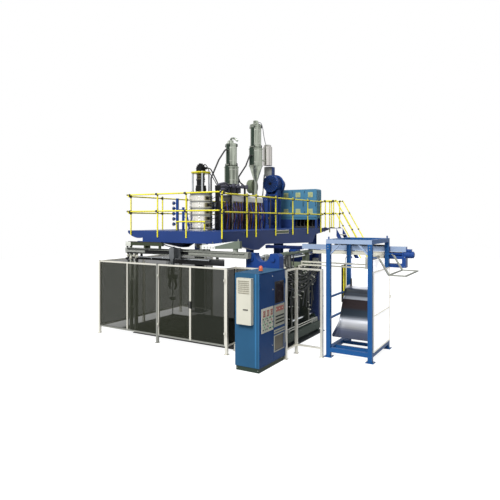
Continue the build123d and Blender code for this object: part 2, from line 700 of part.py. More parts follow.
def yoke():
    """Ring on the head, four columns, and the flange that carries the shot cylinder."""
    ring = Pos(0, 0, HEAD_TOP + YOKE_RING_T / 2) * (
        Cylinder(YOKE_RING_R, YOKE_RING_T) - Cylinder(PISTON_R + 40, YOKE_RING_T))
    rim = YOKE_TOP - YOKE_TOP_T
    top = turned([(SHOT_CYL_R, rim), (YOKE_TOP_R - 22, rim), (YOKE_TOP_R, rim + 24),
                  (YOKE_TOP_R, YOKE_TOP), (YOKE_TOP_R - 14, YOKE_TOP), (YOKE_TOP_R - 20, YOKE_TOP - 14),
                  (SHOT_CYL_R + 70, YOKE_TOP - 14), (SHOT_CYL_R + 60, YOKE_TOP), (SHOT_CYL_R, YOKE_TOP)])
    add("head_yoke", place_on_head(ring), place_on_head(top))
    for turn in range(4):
        angle = radians(45 + 90 * turn)
        x = HEAD_X + YOKE_COLUMN_PCD / 2 * cos(angle)
        y = MOULD_Y + YOKE_COLUMN_PCD / 2 * sin(angle)
        z = (HEAD_TOP + YOKE_RING_T, YOKE_TOP - YOKE_TOP_T)
        add("head_yoke", upright(x, y, z, YOKE_COLUMN_R))
    bore_r = PISTON_R + RUN
    top = YOKE_TOP + 40
    barrel = turned([(bore_r, SHOT_CYL_BOTTOM), (SHOT_CYL_R, SHOT_CYL_BOTTOM), (SHOT_CYL_R, YOKE_TOP),
                     (SHOT_CYL_R + 50, YOKE_TOP), (SHOT_CYL_R + 50, top), (0, top),
                     (0, top - 60), (bore_r, top - 60)])
    add("shot_cylinder", place_on_head(barrel))
    add("shot_cylinder", block(around(HEAD_X, 190), around(MOULD_Y, 210), (top, top + 130)))
    add("shot_cylinder", upright(HEAD_X, MOULD_Y - 40, (top + 130, top + 220), 42))
    add("shot_cylinder", along_x((HEAD_X + 95, HEAD_X + 190), MOULD_Y + 30, top + 70, 38))
    rod_z = (HEAD_TOP - PISTON_BORE_DEPTH + PISTON_STROKE + 20, top - 80)
    collar = upright(HEAD_X, MOULD_Y, (SHOT_CYL_BOTTOM - 60, SHOT_CYL_BOTTOM - 20), PISTON_R + 20)
    add("shot_piston", upright(HEAD_X, MOULD_Y, rod_z, PISTON_R) + collar)


# Extruder

def extruder():
    bore_r = SCREW_R + RUN
    barrel = along_y(HEAD_X, BARREL_Y, BARREL_Z, BARREL_R)
    barrel += along_y(HEAD_X, (BARREL_Y[1] - 40, BARREL_Y[1]), BARREL_Z, BARREL_R + 90)
    barrel += along_y(HEAD_X, (BARREL_Y[0] + 180, BARREL_Y[0] + 300), BARREL_Z, BARREL_R + 35)
    seat = place_on_head(upright(0, 0, (BARREL_Z - 300, BARREL_Z + 300), HEAD_R + BAND_T))
    barrel -= seat
    barrel -= along_y(HEAD_X, (BARREL_Y[0] + 350, BARREL_Y[1]), BARREL_Z, bore_r)
    add("extruder_barrel", barrel)
    first = BARREL_Y[0] + 700
    pitch = (BARREL_Y[1] - 250 - first) / BARREL_HEATER_COUNT
    for zone in range(BARREL_HEATER_COUNT):
        y = (first + zone * pitch, first + zone * pitch + BARREL_HEATER_L)
        jacket = along_y(HEAD_X, y, BARREL_Z, BARREL_HEATER_R)
        add("heater_bands", jacket - along_y(HEAD_X, y, BARREL_Z, BARREL_R))
        zone_fan(sum(y) / 2)
    add("extruder_screw", screw())
    for y in (BARREL_Y[0] + 640, BARREL_Y[1] - 190):
        saddle = block(around(HEAD_X, 340), around(y, 30), (DECK_TOP, BARREL_Z))
        add("extruder_barrel", saddle - along_y(HEAD_X, around(y, 30), BARREL_Z, BARREL_R))
    cover()
    gearbox()
    motor()


def zone_fan(y):
    """Cooling fan below one heated zone: a duct up to the jacket and a round housing beside it."""
    duct = block(around(HEAD_X, 110), around(y, 110), (BARREL_Z - 290, BARREL_Z - 60))
    add("extruder_barrel", duct - along_y(HEAD_X, around(y, 110), BARREL_Z, BARREL_HEATER_R))
    fan_x = (HEAD_X + 55, HEAD_X + 165)
    add("extruder_barrel", along_x(fan_x, y, BARREL_Z - 215, 85))
    add("extruder_barrel", along_x((fan_x[1], fan_x[1] + 25), y, BARREL_Z - 215, 45))


def screw():
    tip_y = BARREL_Y[0] + 380
    end_y = GEARBOX_Y[0] - RUN
    core = turned([(0, 0), (SCREW_R - 14, 60), (SCREW_R - 14, end_y - tip_y - 200),
                   (SCREW_R, end_y - tip_y - 200), (SCREW_R, end_y - tip_y), (0, end_y - tip_y)])
    return Pos(HEAD_X, tip_y, BARREL_Z) * Rot(-90, 0, 0) * core


def cover():
    """Folded sheet over the heated barrel, on brackets that stand on the saddles' line."""
    x = around(HEAD_X, COVER_W)
    z = (COVER_TOP - COVER_SIDE, COVER_TOP)
    bend = 45
    outline = [(x[0], z[0]), (x[0], z[1] - bend), (x[0] + bend, z[1]), (x[1] - bend, z[1]),
               (x[1], z[1] - bend), (x[1], z[0])]
    t = COVER_T
    inner = [(x[0] + t, z[0]), (x[0] + t, z[1] - bend - t / 2), (x[0] + bend + t / 2, z[1] - t),
             (x[1] - bend - t / 2, z[1] - t), (x[1] - t, z[1] - bend - t / 2), (x[1] - t, z[0])]
    sheet = plate_xz(outline, COVER_Y) - plate_xz(inner, COVER_Y)
    sheet -= upright(HEAD_X, TALL_LOADER_Y, (COVER_TOP - 2 * t, COVER_TOP), THROAT_R + 10)
    add("barrel_cover", sheet)
    for y in (COVER_Y[0] + 60, sum(COVER_Y) / 2, COVER_Y[1] - 60):
        for side in (-1, 1):
            edge = HEAD_X + side * (COVER_W / 2 - t)
            leg = tuple(sorted((edge, edge - side * 30)))
            add("barrel_cover", block(leg, around(y, 40), (DECK_TOP, COVER_TOP - bend - 20)))


def gearbox():
    x, y = GEARBOX_X, GEARBOX_Y
    case = block(x, y, (DECK_TOP + 120, GEARBOX_TOP))
    case = chamfer(case.edges().filter_by(Axis.Y).group_by(Axis.Z)[-1], 90)
    add("gearbox", case)
    add("gearbox", block((x[0] - 60, x[1] + 60), (y[0] - 30, y[1] + 30), (DECK_TOP, DECK_TOP + 120)))
    add("gearbox", along_y(HEAD_X, (BARREL_Y[1], y[0]), BARREL_Z, BARREL_R + 70) - along_y(
        HEAD_X, (BARREL_Y[1], y[0]), BARREL_Z, SCREW_R + RUN))
    add("gearbox", along_y(HEAD_X, (y[1], y[1] + 60), BARREL_Z, 210))
    for side in (x[0] + 130, x[1] - 130):
        add("gearbox", block(around(side, 40), (y[0] + 200, y[0] + 380), (GEARBOX_TOP, GEARBOX_TOP + 30)))
    belt_case()


def belt_case():
    """Guard over the belts between the gearbox and the motor above it, with round ends."""
    low, high = Vector(HEAD_X, 0, BARREL_Z), Vector(MOTOR_X, 0, MOTOR_Z)
    across = (high - low).normalized().cross(Vector(0, 1, 0)) * BELT_CASE_R
    corners = [low + across, high + across, high - across, low - across]
    case = plate_xz([(corner.X, corner.Z) for corner in corners], BELT_CASE_Y)
    for end in (low, high):
        case += along_y(end.X, BELT_CASE_Y, end.Z, BELT_CASE_R)
    add("gearbox", case)


def motor():
    """Foot-mounted drive motor with a fan cowl, a ribbed shell, a flange and a terminal box."""
    y = MOTOR_Y
    x, z = MOTOR_X, MOTOR_Z
    shell_r = MOTOR_R - 50
    shell_y = (y[0] + 110, y[1] - 50)
    shell = along_y(x, shell_y, z, shell_r)
    add("drive_motor", along_y(x, (y[0], shell_y[0]), z, MOTOR_R - 40))
    add("drive_motor", along_y(x, (shell_y[1], y[1]), z, MOTOR_R))
    add("drive_motor", along_y(x, (y[1], BELT_CASE_Y[0]), z, MOTOR_R - 130))
    fin_y = (shell_y[0] + 10, shell_y[1] - 10)
    reach = shell_r + 8
    for rib in range(MOTOR_RIBS):
        angle = 2 * pi * rib / MOTOR_RIBS
        if abs(sin(angle)) < 0.8:
            centre = (x + reach * cos(angle), sum(fin_y) / 2, z + reach * sin(angle))
            shell += Pos(*centre) * Rot(0, -degrees(angle), 0) * Box(28, fin_y[1] - fin_y[0], 8)
    add("drive_motor", shell)
    seat = z - MOTOR_R - 40
    for side in (-1, 1):
        foot = block(around(x + side * 200, 90), fin_y, (seat, z - 150))
        add("drive_motor", foot - along_y(x, y, z, shell_r + 30))
    terminals = block((x - 310, x - 10), fin_y, (z + MOTOR_R - 60, z + MOTOR_R + 300))
    add("drive_motor", terminals - along_y(x, y, z, shell_r))
    frame_x, frame_y = around(x, 520), (shell_y[0] - 20, shell_y[1] - 20)
    add("gearbox", block(frame_x, frame_y, (seat - 60, seat)))
    for leg_x in (frame_x[0] + 40, frame_x[1] - 40):
        low = GEARBOX_TOP if leg_x < GEARBOX_X[1] else DECK_TOP
        for leg_y in (frame_y[0] + 40, frame_y[1] - 40):
            add("gearbox", block(around(leg_x, 80), around(leg_y, 80), (low, seat - 60)))


# Material handling

def loader_shell(x, y, radii, levels):
    """Vacuum loader: narrow receiver on a wider bin, flanges at the joints, cone below."""
    low, cone, joint, top = levels
    narrow, wide = radii
    shell = turned([(0, low), (THROAT_R, low), (wide, cone), (wide, joint), (narrow, joint + 40),
                    (narrow, top), (0, top)])
    for z, radius in ((cone, wide), (joint - 25, wide), (joint + 60, narrow), (top - 60, narrow)):
        shell += Pos(0, 0, z) * Cylinder(radius + 18, 22)
    radius = narrow if PORT_Z > joint else wide
    shell += along_y(0, (-radius - PORT_L, 0), PORT_Z, 38)
    return Pos(x, y, 0) * shell


LID_HINGE_REACH = TALL_LOADER_R[0] + 35


def materials_line():
    side = loader_shell(HEAD_X, SIDE_LOADER_Y, SIDE_LOADER_R, (TRAY_TOP, TRAY_TOP + 60, 5030, 5800))
    add("material_loaders", side)
    add("material_loaders", upright(HEAD_X - 30, SIDE_LOADER_Y + 20, (5800, 5910), 90))
    tall = loader_shell(HEAD_X, TALL_LOADER_Y, TALL_LOADER_R,
                        (4640, 5210, TALL_LOADER_TOP - 840, TALL_LOADER_TOP))
    throat_z = (BARREL_Z + BARREL_R - 10, 4640)
    inlet = upright(HEAD_X, TALL_LOADER_Y, throat_z, THROAT_R)
    inlet -= along_y(HEAD_X, around(TALL_LOADER_Y, 300), BARREL_Z, BARREL_R)
    add("material_loaders", upright(FILTER_X, FILTER_Y, FILTER_Z, FILTER_R))
    add("material_loaders", upright(FILTER_X, FILTER_Y, (FILTER_Z[1], FILTER_Z[1] + 60), FILTER_R - 35))
    lid_place = Pos(HEAD_X, TALL_LOADER_Y + LID_HINGE_REACH, TALL_LOADER_TOP)
    fixed, moving = lift_off_hinge(lid_place * Rot(0, 90, 0),
                                   ((SEAT, 12), (-45, 0)), ((-12, -SEAT), (-60, 0)))
    add("material_loaders", tall + fixed, inlet)
    lid = turned([(0, 0), (TALL_LOADER_R[0] + 18, 0), (TALL_LOADER_R[0] + 18, 24),
                  (120, 60), (95, 60), (95, 170), (0, 170)])
    add("loader_lid", Pos(HEAD_X, TALL_LOADER_Y, TALL_LOADER_TOP + SEAT) * lid + moving)
    stand_x = around(HEAD_X, 640)
    stand_y = (SIDE_LOADER_Y - 500, SIDE_LOADER_Y + 420)
    add("loader_stand", block(stand_x, stand_y, (TRAY_TOP - TRAY_T, TRAY_TOP)))
    for x in (stand_x[0] + 30, stand_x[1] - 30):
        for y in (stand_y[0] + 30, stand_y[1] - 30):
            add("loader_stand", block(around(x, 50), around(y, 50), (DECK_TOP, TRAY_TOP - TRAY_T)))
    arm_z = (5400, 5450)
    arm = block(around(FILTER_X, 60), (TALL_LOADER_Y + 70, FILTER_Y - FILTER_R + 10), arm_z)
    arm -= upright(HEAD_X, TALL_LOADER_Y, arm_z, TALL_LOADER_R[1])
    add("material_loaders", arm - upright(FILTER_X, FILTER_Y, arm_z, FILTER_R))
    blower()


def blower():
    """Round blower housing on a bracket that stands on the gear case."""
    x, y, z, radius = BLOWER_X, BLOWER_Y, BLOWER_Z, BLOWER_R
    add("vacuum_blower", along_x((x - 110, x + 110), y, z, radius))
    add("vacuum_blower", along_x((x - 170, x - 110), y, z, 140))
    bracket = block(around(x, 110), (GEARBOX_Y[0], GEARBOX_Y[0] + 150), (GEARBOX_TOP - 90, z - 100))
    bracket -= block((GEARBOX_X[0] - 200, GEARBOX_X[1]), GEARBOX_Y, (GEARBOX_TOP - 90, GEARBOX_TOP))
    add("vacuum_blower", bracket - along_x((x - 110, x + 110), y, z, radius))


# Switch cabinet on the platform

def switch_cabinet():
    """Three-door cabinet that faces the head, on skids, with a small box under its left third."""
    x, y, z = SWITCH_X, SWITCH_Y, SWITCH_Z
    case = block(x, y, z)
    add("switch_cabinet", chamfer(case.edges().filter_by(Axis.Y).group_by(Axis.Z)[-1], 40))
    width = (x[1] - x[0]) / SWITCH_DOORS
    for door in range(SWITCH_DOORS):
        low = x[0] + door * width
        add("switch_cabinet", block((low + 12, low + width - 12), (y[0] - 14, y[0]),
                                    (z[0] + 20, z[1] - 60)))
        for height in (z[0] + 255, z[1] - 214):
            vent = around(low + width / 2, 200)
            add("switch_cabinet", block(vent, (y[0] - 26, y[0] - 14), around(height, 190)))
            for slat in range(4):
                slat_z = around(height - 60 + slat * 40, 18)
                add("switch_cabinet", block((vent[0] + 20, vent[1] - 20), (y[0] - 34, y[0] - 26), slat_z))
    skid_z = (z[0] - 60, z[0])
    for skid_y in (y[0] + 50, y[1] - 50):
        add("switch_cabinet", block(x, around(skid_y, 80), skid_z))
        for leg_x in (x[0] + width + 40, x[1] - 40):
            add("switch_cabinet", block(around(leg_x, 80), around(skid_y, 80), (DECK_TOP, skid_z[0])))
    add("switch_cabinet", block((x[0], x[0] + width), y, (DECK_TOP, skid_z[0])))


def cooling_manifold():
    x, y = -4330, 2560
    add("cooling_manifold", upright(x, y, (DECK_TOP, 3890), 45))
    add("cooling_manifold", upright(x + 230, y, (DECK_TOP, 3620), 40))
    for z in (3110, 3270, 3430, 3590, 3750):
        valve = along_x((x - 110, x), y, z, 16) + along_x((x - 140, x - 110), y, z, 42)
        add("cooling_manifold", valve - upright(x, y, (z - 60, z + 60), 45))
    link = along_x((x, x + 230), y, 3540, 22) - upright(x, y, (3500, 3600), 45)
    add("cooling_manifold", link - upright(x + 230, y, (3500, 3600), 40))


# Gantry

def gantry():
    """Beam in front of the head with hangers to the platform and legs at the far end."""
    ends = (GANTRY_X[0], *GANTRY_JOINTS, GANTRY_X[1])
    for x in zip(ends[:-1], ends[1:]):
        add("gantry_beams", block(x, GANTRY_Y, GANTRY_Z))
    rail_y = (GANTRY_Y[0] - 30, GANTRY_Y[0])
    for z in (GANTRY_Z[0] + 10, GANTRY_Z[1] - 40):
        add("gantry_beams", block((GANTRY_X[0] + 100, GANTRY_X[1] - 100), rail_y, (z, z + 30)))
    rise = GANTRY_Z[1] + 75
    for x in (-4600, -2640):
        across = around(x, 140)
        add("gantry_beams", block(across, (GANTRY_Y[1] - 60, GANTRY_Y[1]), (GANTRY_Z[1], rise)))
        add("gantry_beams", block(across, (GANTRY_Y[1] - 60, DECK_Y[0] + 40), (rise, rise + 60)))
        add("gantry_beams", block(across, (DECK_Y[0] - 60, DECK_Y[0] + 40), (rise + 60, GIRDER_BOTTOM)))
    for leg_x in GANTRY_LEGS:
        add("gantry_beams", block(around(leg_x, 60), around(sum(GANTRY_Y) / 2, 100),
                                  (FOOT_PLATE_T, GANTRY_Z[0])))
    brace_x = (GANTRY_LEGS[0] + 30, GANTRY_LEGS[1] - 30)
    for z in (700, 1500, 2200):
        add("gantry_beams", block(brace_x, around(sum(GANTRY_Y) / 2, 60), around(z, 60)))
    base_x = (GANTRY_LEGS[0] - GANTRY_BASE / 2, GANTRY_LEGS[1] + GANTRY_BASE / 2)
    add("gantry_beams", block(base_x, (GANTRY_Y[0] - 30, GANTRY_Y[1] + 30), (0, FOOT_PLATE_T)))
    cable_tray()
    lower_guide()
    cantilever_arm()
    carriage()


def cable_tray():
    """Tray over the left part of the beam with the energy chain lying in it."""
    y = (GANTRY_Y[0] + 20, GANTRY_Y[1] - 70)
    wall = 6
    tray = block(CABLE_TRAY_X, y, CABLE_TRAY_Z)
    tray -= block(CABLE_TRAY_X, (y[0] + wall, y[1] - wall), (CABLE_TRAY_Z[0] + wall, CABLE_TRAY_Z[1]))
    add("gantry_beams", tray)
    for x in (CABLE_TRAY_X[0] + 120, sum(CABLE_TRAY_X) / 2, CABLE_TRAY_X[1] - 120):
        add("gantry_beams", block(around(x, 60), (y[0] + 10, y[1] - 10), (GANTRY_Z[1], CABLE_TRAY_Z[0])))
    chain_x = (CABLE_TRAY_X[0] + 40, CABLE_TRAY_X[1] - 40)
    chain_z = (CABLE_TRAY_Z[0] + wall, CABLE_TRAY_Z[1] + 22)
    add("energy_chain", block(chain_x, (y[0] + wall, y[1] - wall), chain_z))


def lower_guide():
    """Round-edged guide bar that hangs below the beam on three plates."""
    y = around(sum(GANTRY_Y) / 2, 60)
    bar = block(LOWER_GUIDE_X, y, LOWER_GUIDE_Z)
    bar -= block(around(GANTRY_LEGS[1], 60), around(sum(y) / 2, 100), LOWER_GUIDE_Z)
    add("gantry_beams", *[chamfer(piece.edges().filter_by(Axis.X), 12) for piece in bar.solids()])
    for x in (LOWER_GUIDE_X[0] + 180, sum(LOWER_GUIDE_X) / 2, LOWER_GUIDE_X[1] - 60):
        add("gantry_beams", block(around(x, 80), around(sum(y) / 2, 20), (LOWER_GUIDE_Z[1], GANTRY_Z[0])))


def cantilever_arm():
    """Tapered arm on top of the beam's right part, with a valve box at its thin end."""
    y = (GANTRY_Y[0] + 30, GANTRY_Y[1] - 20)
    low = GANTRY_Z[1]
    outline = [(ARM_X[0], low + 40), (ARM_X[1], low + 85), (ARM_X[1], low + 280),
               (ARM_X[1] - 150, low + 265), (ARM_X[0], low + 150)]
    add("gantry_beams", plate_xz(outline, y))
    for x in (ARM_X[0] + 90, ARM_X[1] - 160):
        foot = block(around(x, 120), (y[0] + 20, y[1] - 20), (low, low + 120))
        add("gantry_beams", foot - plate_xz(outline, y))
    for x in (ARM_X[0] + 250, ARM_X[1] - 75):
        height = low + 150 + 115 * (x - ARM_X[0]) / (ARM_X[1] - ARM_X[0])
        pin = upright(x, sum(y) / 2, (height - 60, height + 60), 14)
        add("gantry_beams", pin - plate_xz(outline, y))
    add("gantry_beams", block((ARM_X[0] - 40, ARM_X[0] + 380), (y[0] - 40, y[0]), (low + 46, low + 146)))


def carriage():
    """Carriage on the beam's front rails; the gripper's mast slides up and down in it."""
    x = around(GRIPPER_X, 360)
    plate_y = (GRIPPER_Y + 95, GRIPPER_Y + 125)
    z = (GANTRY_Z[0] - 60, GANTRY_Z[1] + 60)
    add("gantry_carriage", block(x, plate_y, z))
    rail_front = GANTRY_Y[0] - 30
    for rail_z in (GANTRY_Z[0] + 10, GANTRY_Z[1] - 40):
        for side in (-1, 1):
            shoe_x = around(GRIPPER_X + side * 110, 100)
            shoe = block(shoe_x, (plate_y[1], GANTRY_Y[0] - 8), (rail_z - 20, rail_z + 50))
            groove = block(shoe_x, (rail_front - SEAT, GANTRY_Y[0]), (rail_z - SEAT, rail_z + 30 + SEAT))
            add("gantry_carriage", shoe - groove)
    guide = block(around(GRIPPER_X, 160), (GRIPPER_Y - 55, plate_y[0]), (z[0], z[1]))
    guide -= block(around(GRIPPER_X, 80 + 2 * SEAT), around(GRIPPER_Y, 80 + 2 * SEAT), z)
    add("gantry_carriage", guide)
    mast = block(around(GRIPPER_X, 80), around(GRIPPER_Y, 80), (1780, 2520))
    head = block(around(GRIPPER_X, 240), around(GRIPPER_Y, 120), (1660, 1780))
    add("gripper", mast, head)
    for side in (-1, 1):
        finger = [(side * 40, 1660), (side * 120, 1660), (side * 150, 1500), (side * 90, 1380),
                  (side * 60, 1380), (side * 95, 1500), (side * 60, 1600), (side * 40, 1600)]
        add("gripper", plate_xz([(GRIPPER_X + x, z) for x, z in finger], around(GRIPPER_Y, 40)))
    add("gripper", upright(GRIPPER_X, GRIPPER_Y, (720, 1660), 12))


# Control cabinet

CABINET_Z = (PLINTH_H, CAB_H)
DOOR_LOW = PLINTH_H + 20
DOOR_HIGH = CAB_H - 25
HINGE_OUT = KNUCKLE_R + 2


def cabinet():
    x = (-CAB_W, 0)
    y = (0, CAB_D)
    shell_x = (x[0], 0)
    add("control_cabinet", block(shell_x, (0, SHEET), CABINET_Z))
    add("control_cabinet", block(shell_x, (CAB_D - SHEET, CAB_D), CABINET_Z))
    inner_y = (SHEET, CAB_D - SHEET)
    add("control_cabinet", block((x[0], x[0] + SHEET), inner_y, CABINET_Z))
    rest = (x[0] + SHEET, 0)
    add("control_cabinet", block(rest, inner_y, (CAB_H - SHEET, CAB_H)))
    add("control_cabinet", block(rest, inner_y, (PLINTH_H, PLINTH_H + SHEET)))
    plinth = block((x[0] + PLINTH_INSET, -PLINTH_INSET), (PLINTH_INSET, CAB_D - PLINTH_INSET),
                   (0, PLINTH_H))
    add("control_cabinet", plinth)
    back = x[0] + SHEET
    add("cabinet_gear", block((back, back + 20), (90, CAB_D - 90), (250, 1950)))
    for row, z in enumerate((420, 760, 1100, 1440, 1720)):
        depth = (back + 20, back + 110 + 30 * (row % 2))
        for unit in range(4):
            low = 130 + unit * 240
            add("cabinet_gear", block(depth, (low, low + 190), (z, z + 150)))
    cabinet_door("near_cabinet_door", 0)
    cabinet_door("far_cabinet_door", 1)
    door_panels()
    cooling_unit()
    lamp()


def cabinet_door(name, far):
    wall = CAB_D - SHEET if far else SHEET
    side = -1 if far else 1
    hung = wall + side * DOOR_GAP
    free = DOOR_SPLIT_Y - side * 2
    y = tuple(sorted((hung, free)))
    door = block((-DOOR_T, 0), y, (DOOR_LOW, DOOR_HIGH))
    hinge_y = wall + side * DOOR_GAP / 2
    if far:
        screen = (DOOR_SPLIT_Y + 50, CAB_D - 70)
        window = (DOOR_SPLIT_Y + 40, CAB_D - 70)
        window_z = (320, 640)
        door -= block((-DOOR_T, 0), screen, (1370, 1860))
        door -= block((-DOOR_T, 0), window, window_z)
        rim = block((0, 8), (window[0] - 25, window[1] + 25), (window_z[0] - 25, window_z[1] + 25))
        door += rim - block((0, 8), window, window_z)
        add("door_glazing", block((-DOOR_T, -4), screen, (1370, 1860)),
            block((-DOOR_T, -4), window, window_z))
    else:
        for lock_y, lock_z in ((560, 2000), (560, 480)):
            door += along_x((0, 14), lock_y, lock_z, 16)
    fixed_y = tuple(sorted((-side * 14, 0)))
    moving_y = tuple(sorted((side * 30, 0)))
    for z in (300, 1780):
        fixed, moving = lift_off_hinge(Pos(HINGE_OUT, hinge_y, z),
                                       ((-HINGE_OUT, 0), fixed_y), ((-HINGE_OUT, 0), moving_y))
        add("control_cabinet", fixed)
        door += moving
    add(name, door)


BUTTON_PLACES = ((190, 1060), (355, 1060), (520, 1060), (190, 940), (355, 940))


def door_panels():
    plate = block((0, 8), (90, 615), (820, 1340))
    for y, z in BUTTON_PLACES:
        plate -= along_x((0, 8), y, z, BUTTON_R + RUN)
    add("button_panel", plate)
    for y in (190, 355, 520):
        add("button_panel", block((8, 14), around(y, 110), around(1225, 130)))
    add("button_panel", along_x((8, 22), 520, 940, 18))
    for number, (y, z) in enumerate(BUTTON_PLACES, 1):
        cap = along_x((BUTTON_TRAVEL + 1, 20), y, z, BUTTON_R)
        add(f"push_button_{number}", cap)
    y = (DOOR_SPLIT_Y + 25, CAB_D - 35)
    display = block((0, 8), y, (850, 1335))
    for row in range(3):
        display += block((8, 16), (y[0] + 35, y[1] - 35), around(930 + row * 75, 36))
    display += block((8, 14), (y[0] + 55, y[1] - 55), around(1240, 110))
    add("display_panel", display)
    for z in (715, 770):
        add("display_panel", block((0, 12), y, around(z, 30)))


def cooling_unit():
    x, y, z = (-500, -140), (-110, 0), (1020, 2000)
    body = block(x, y, z)
    for slot in range(7):
        low = z[1] - 330 + slot * 42
        body -= block((x[0] + 40, x[1] - 40), (y[0], y[0] + 12), (low, low + 20))
    add("cooling_unit", body)
    add("cooling_unit", block((-330, -210), (y[0] - 12, y[0]), (1330, 1350)))


def lamp():
    x, y = -150, 330
    base = turned([(0, 0), (38, 0), (38, 30), (0, 30)])
    dome = turned([(0, 30), (45, 30), (45, 90), (34, 124), (16, 138), (0, 142)])
    add("control_cabinet", Pos(x, y, CAB_H) * base)
    add("signal_lamp", Pos(x, y, CAB_H) * dome)


# Take-out station

def station():
    x0, x1 = STATION_X
    y0, y1 = STATION_Y
    post_x = (x0 + TUBE / 2, x1 - TUBE / 2)
    post_y = (y0 + TUBE / 2, y1 - TUBE / 2)
    foot_top = STATION_FOOT_T
    for x in post_x:
        for y in post_y:
            foot = block(around(x, STATION_FOOT), around(y, STATION_FOOT), (0, foot_top))
            for side in (-1, 1):
                foot -= upright(x + side * STATION_BOLT_SPACING / 2, y, (0, foot_top), STATION_BOLT_R)
            add("station_frame", foot)
            add("station_frame", block(around(x, TUBE), around(y, TUBE), (foot_top, STATION_TOP - TUBE)))
    inner_x = (x0 + TUBE, x1 - TUBE)
    inner_y = (y0 + TUBE, y1 - TUBE)
    top = (STATION_TOP - TUBE, STATION_TOP)
    for y in ((y0, y0 + TUBE), (y1 - TUBE, y1)):
        add("station_frame", block(STATION_X, y, top))
        add("station_frame", block(inner_x, y, (120, 120 + TUBE)))
    for x in ((x0, x0 + TUBE), (x1 - TUBE, x1)):
        add("station_frame", block(x, inner_y, top))
        add("station_frame", block(x, inner_y, (120, 120 + TUBE)))
    for y in (2350, 2850):
        add("station_frame", block(inner_x, around(y, 70), (130, 200)))
    add("station_frame", block(inner_x, around(post_y[1], 60), (1440, 1500)))
    for z in (900, 1400):
        add("station_frame", block(around(post_x[0], 40), inner_y, around(z, 40)))
    leg, width = 260, 55
    for x, side in ((inner_x[0], 1), (inner_x[1], -1)):
        brace = [(x, top[0] - leg), (x, top[0] - leg + width), (x + side * (leg - width), top[0]),
                 (x + side * leg, top[0])]
        add("station_frame", plate_xz(brace, around(post_y[0], 40)))
    for x, y in ((post_x[0], post_y[0]), (post_x[1], post_y[1])):
        add("station_frame", upright(x, y, (STATION_TOP, STATION_TOP + 60), 18))
    station_panel(x1, (inner_y[0] - 30, inner_y[1] + 30))
    add("clear_panels", block((inner_x[0] - 30, inner_x[1] + 30), (y1, y1 + PANEL_T), (230, 2230)))
    chute(inner_x, (1500, 3430))
    light_curtain(post_x[0] + 20)
    transfer(x0, x1)
    swing_guard(x1, y0, y1)


def station_panel(x, y):
    z = (230, 2060)
    face = (x, x + 25)
    frame = block(face, y, z)
    for pane in ((z[0] + 30, 1040), (1070, z[1] - 30)):
        frame -= block(face, (y[0] + 30, y[1] - 30), pane)
    add("fence_frame", frame)
    for pane in ((z[0] + 30, 1040), (1070, z[1] - 30)):
        add("clear_panels", block((x + 9, x + 15), (y[0] + 30, y[1] - 30), pane))
    add("fence_frame", block((x + 25, x + 60), (y[1] - 60, y[1]), (1290, 1360)))


def strip(line, shift):
    """Flat face between a line and its shifted copy."""
    copy = line.moved(Location(shift))
    ends = [Line(line @ end, (line @ end) + Vector(*shift)) for end in (0, 1)]
    return make_face(Curve() + [line, copy, *ends])


def chute(x, rest):
    """Slide that lies level on the rear bar, drops, and runs out level over the front bar."""
    bar_top, back_y = rest
    lip_x = (x[0], x[1] - CHUTE_LIP_T)
    line = FilletPolyline((0, back_y, bar_top + CHUTE_T), (0, 3000, bar_top + CHUTE_T), (0, 2560, 700),
                          (0, 2080, 460), radius=[260, 330])
    sheet = extrude(strip(line, (0, 3, -CHUTE_T)), lip_x[1] - x[0] - CHUTE_LIP_T, dir=(1, 0, 0))
    add("parts_chute", Pos(x[0] + CHUTE_LIP_T, 0, 0) * sheet)
    lip = extrude(strip(line, (0, -35, 50)), CHUTE_LIP_T, dir=(1, 0, 0))
    lip += extrude(strip(line, (0, 3, -CHUTE_T)), CHUTE_LIP_T, dir=(1, 0, 0))
    for edge in lip_x:
        add("parts_chute", Pos(edge, 0, 0) * lip)


def light_curtain(x):
    add("light_curtain", block((x, x + 30), around(3010, 40), (1130, 2080)))


def transfer(x0, x1):
    """Cross beam over the station with its drive end, and the carriage that hangs from it."""
    y = around(AXIS_Y, 150)
    beam_x = (-640, x1 + 380)
    add("transfer_axis", block(beam_x, y, AXIS_Z))
    add("transfer_guide", block((-330, x1 - 130), around(AXIS_Y, 90), GUIDE_Z))
    for x in (x0 + 50, x1 - 50):
        add("transfer_axis", block(around(x, 80), (STATION_Y[1], y[0]), (AXIS_Z[0], AXIS_Z[1])))
    transfer_drive(x1 - 130)
    transfer_carriage()


def transfer_drive(x):
    """Gear housing with an open window, guide tube, end plate and motor."""
    depth = around(AXIS_Y, 230)
    low, seat = 2035, 2330
    motor_z = AXIS_Z[0] - 70
    housing = block((x, x + 514), depth, (low, seat))
    housing -= block((x + 60, x + 420), depth, (low + 90, seat - 80))
    motor_x = (x + 458, x + 682)
    housing -= along_x(motor_x, AXIS_Y, motor_z, 85)
    add("transfer_axis", housing)
    add("transfer_axis", along_x((x, motor_x[0] - 30), AXIS_Y, motor_z + 15, 45))
    add("transfer_axis", block((motor_x[0] - 30, motor_x[0]), depth, (seat, AXIS_Z[0])))
    add("transfer_axis", along_x(motor_x, AXIS_Y, motor_z, 85))


TRANSFER_X = 1500
TRANSFER_TRAVEL = 590
ARM_Y = 2700
ARM_TIP_X = -250
ARM_Z = (2070, 2150)


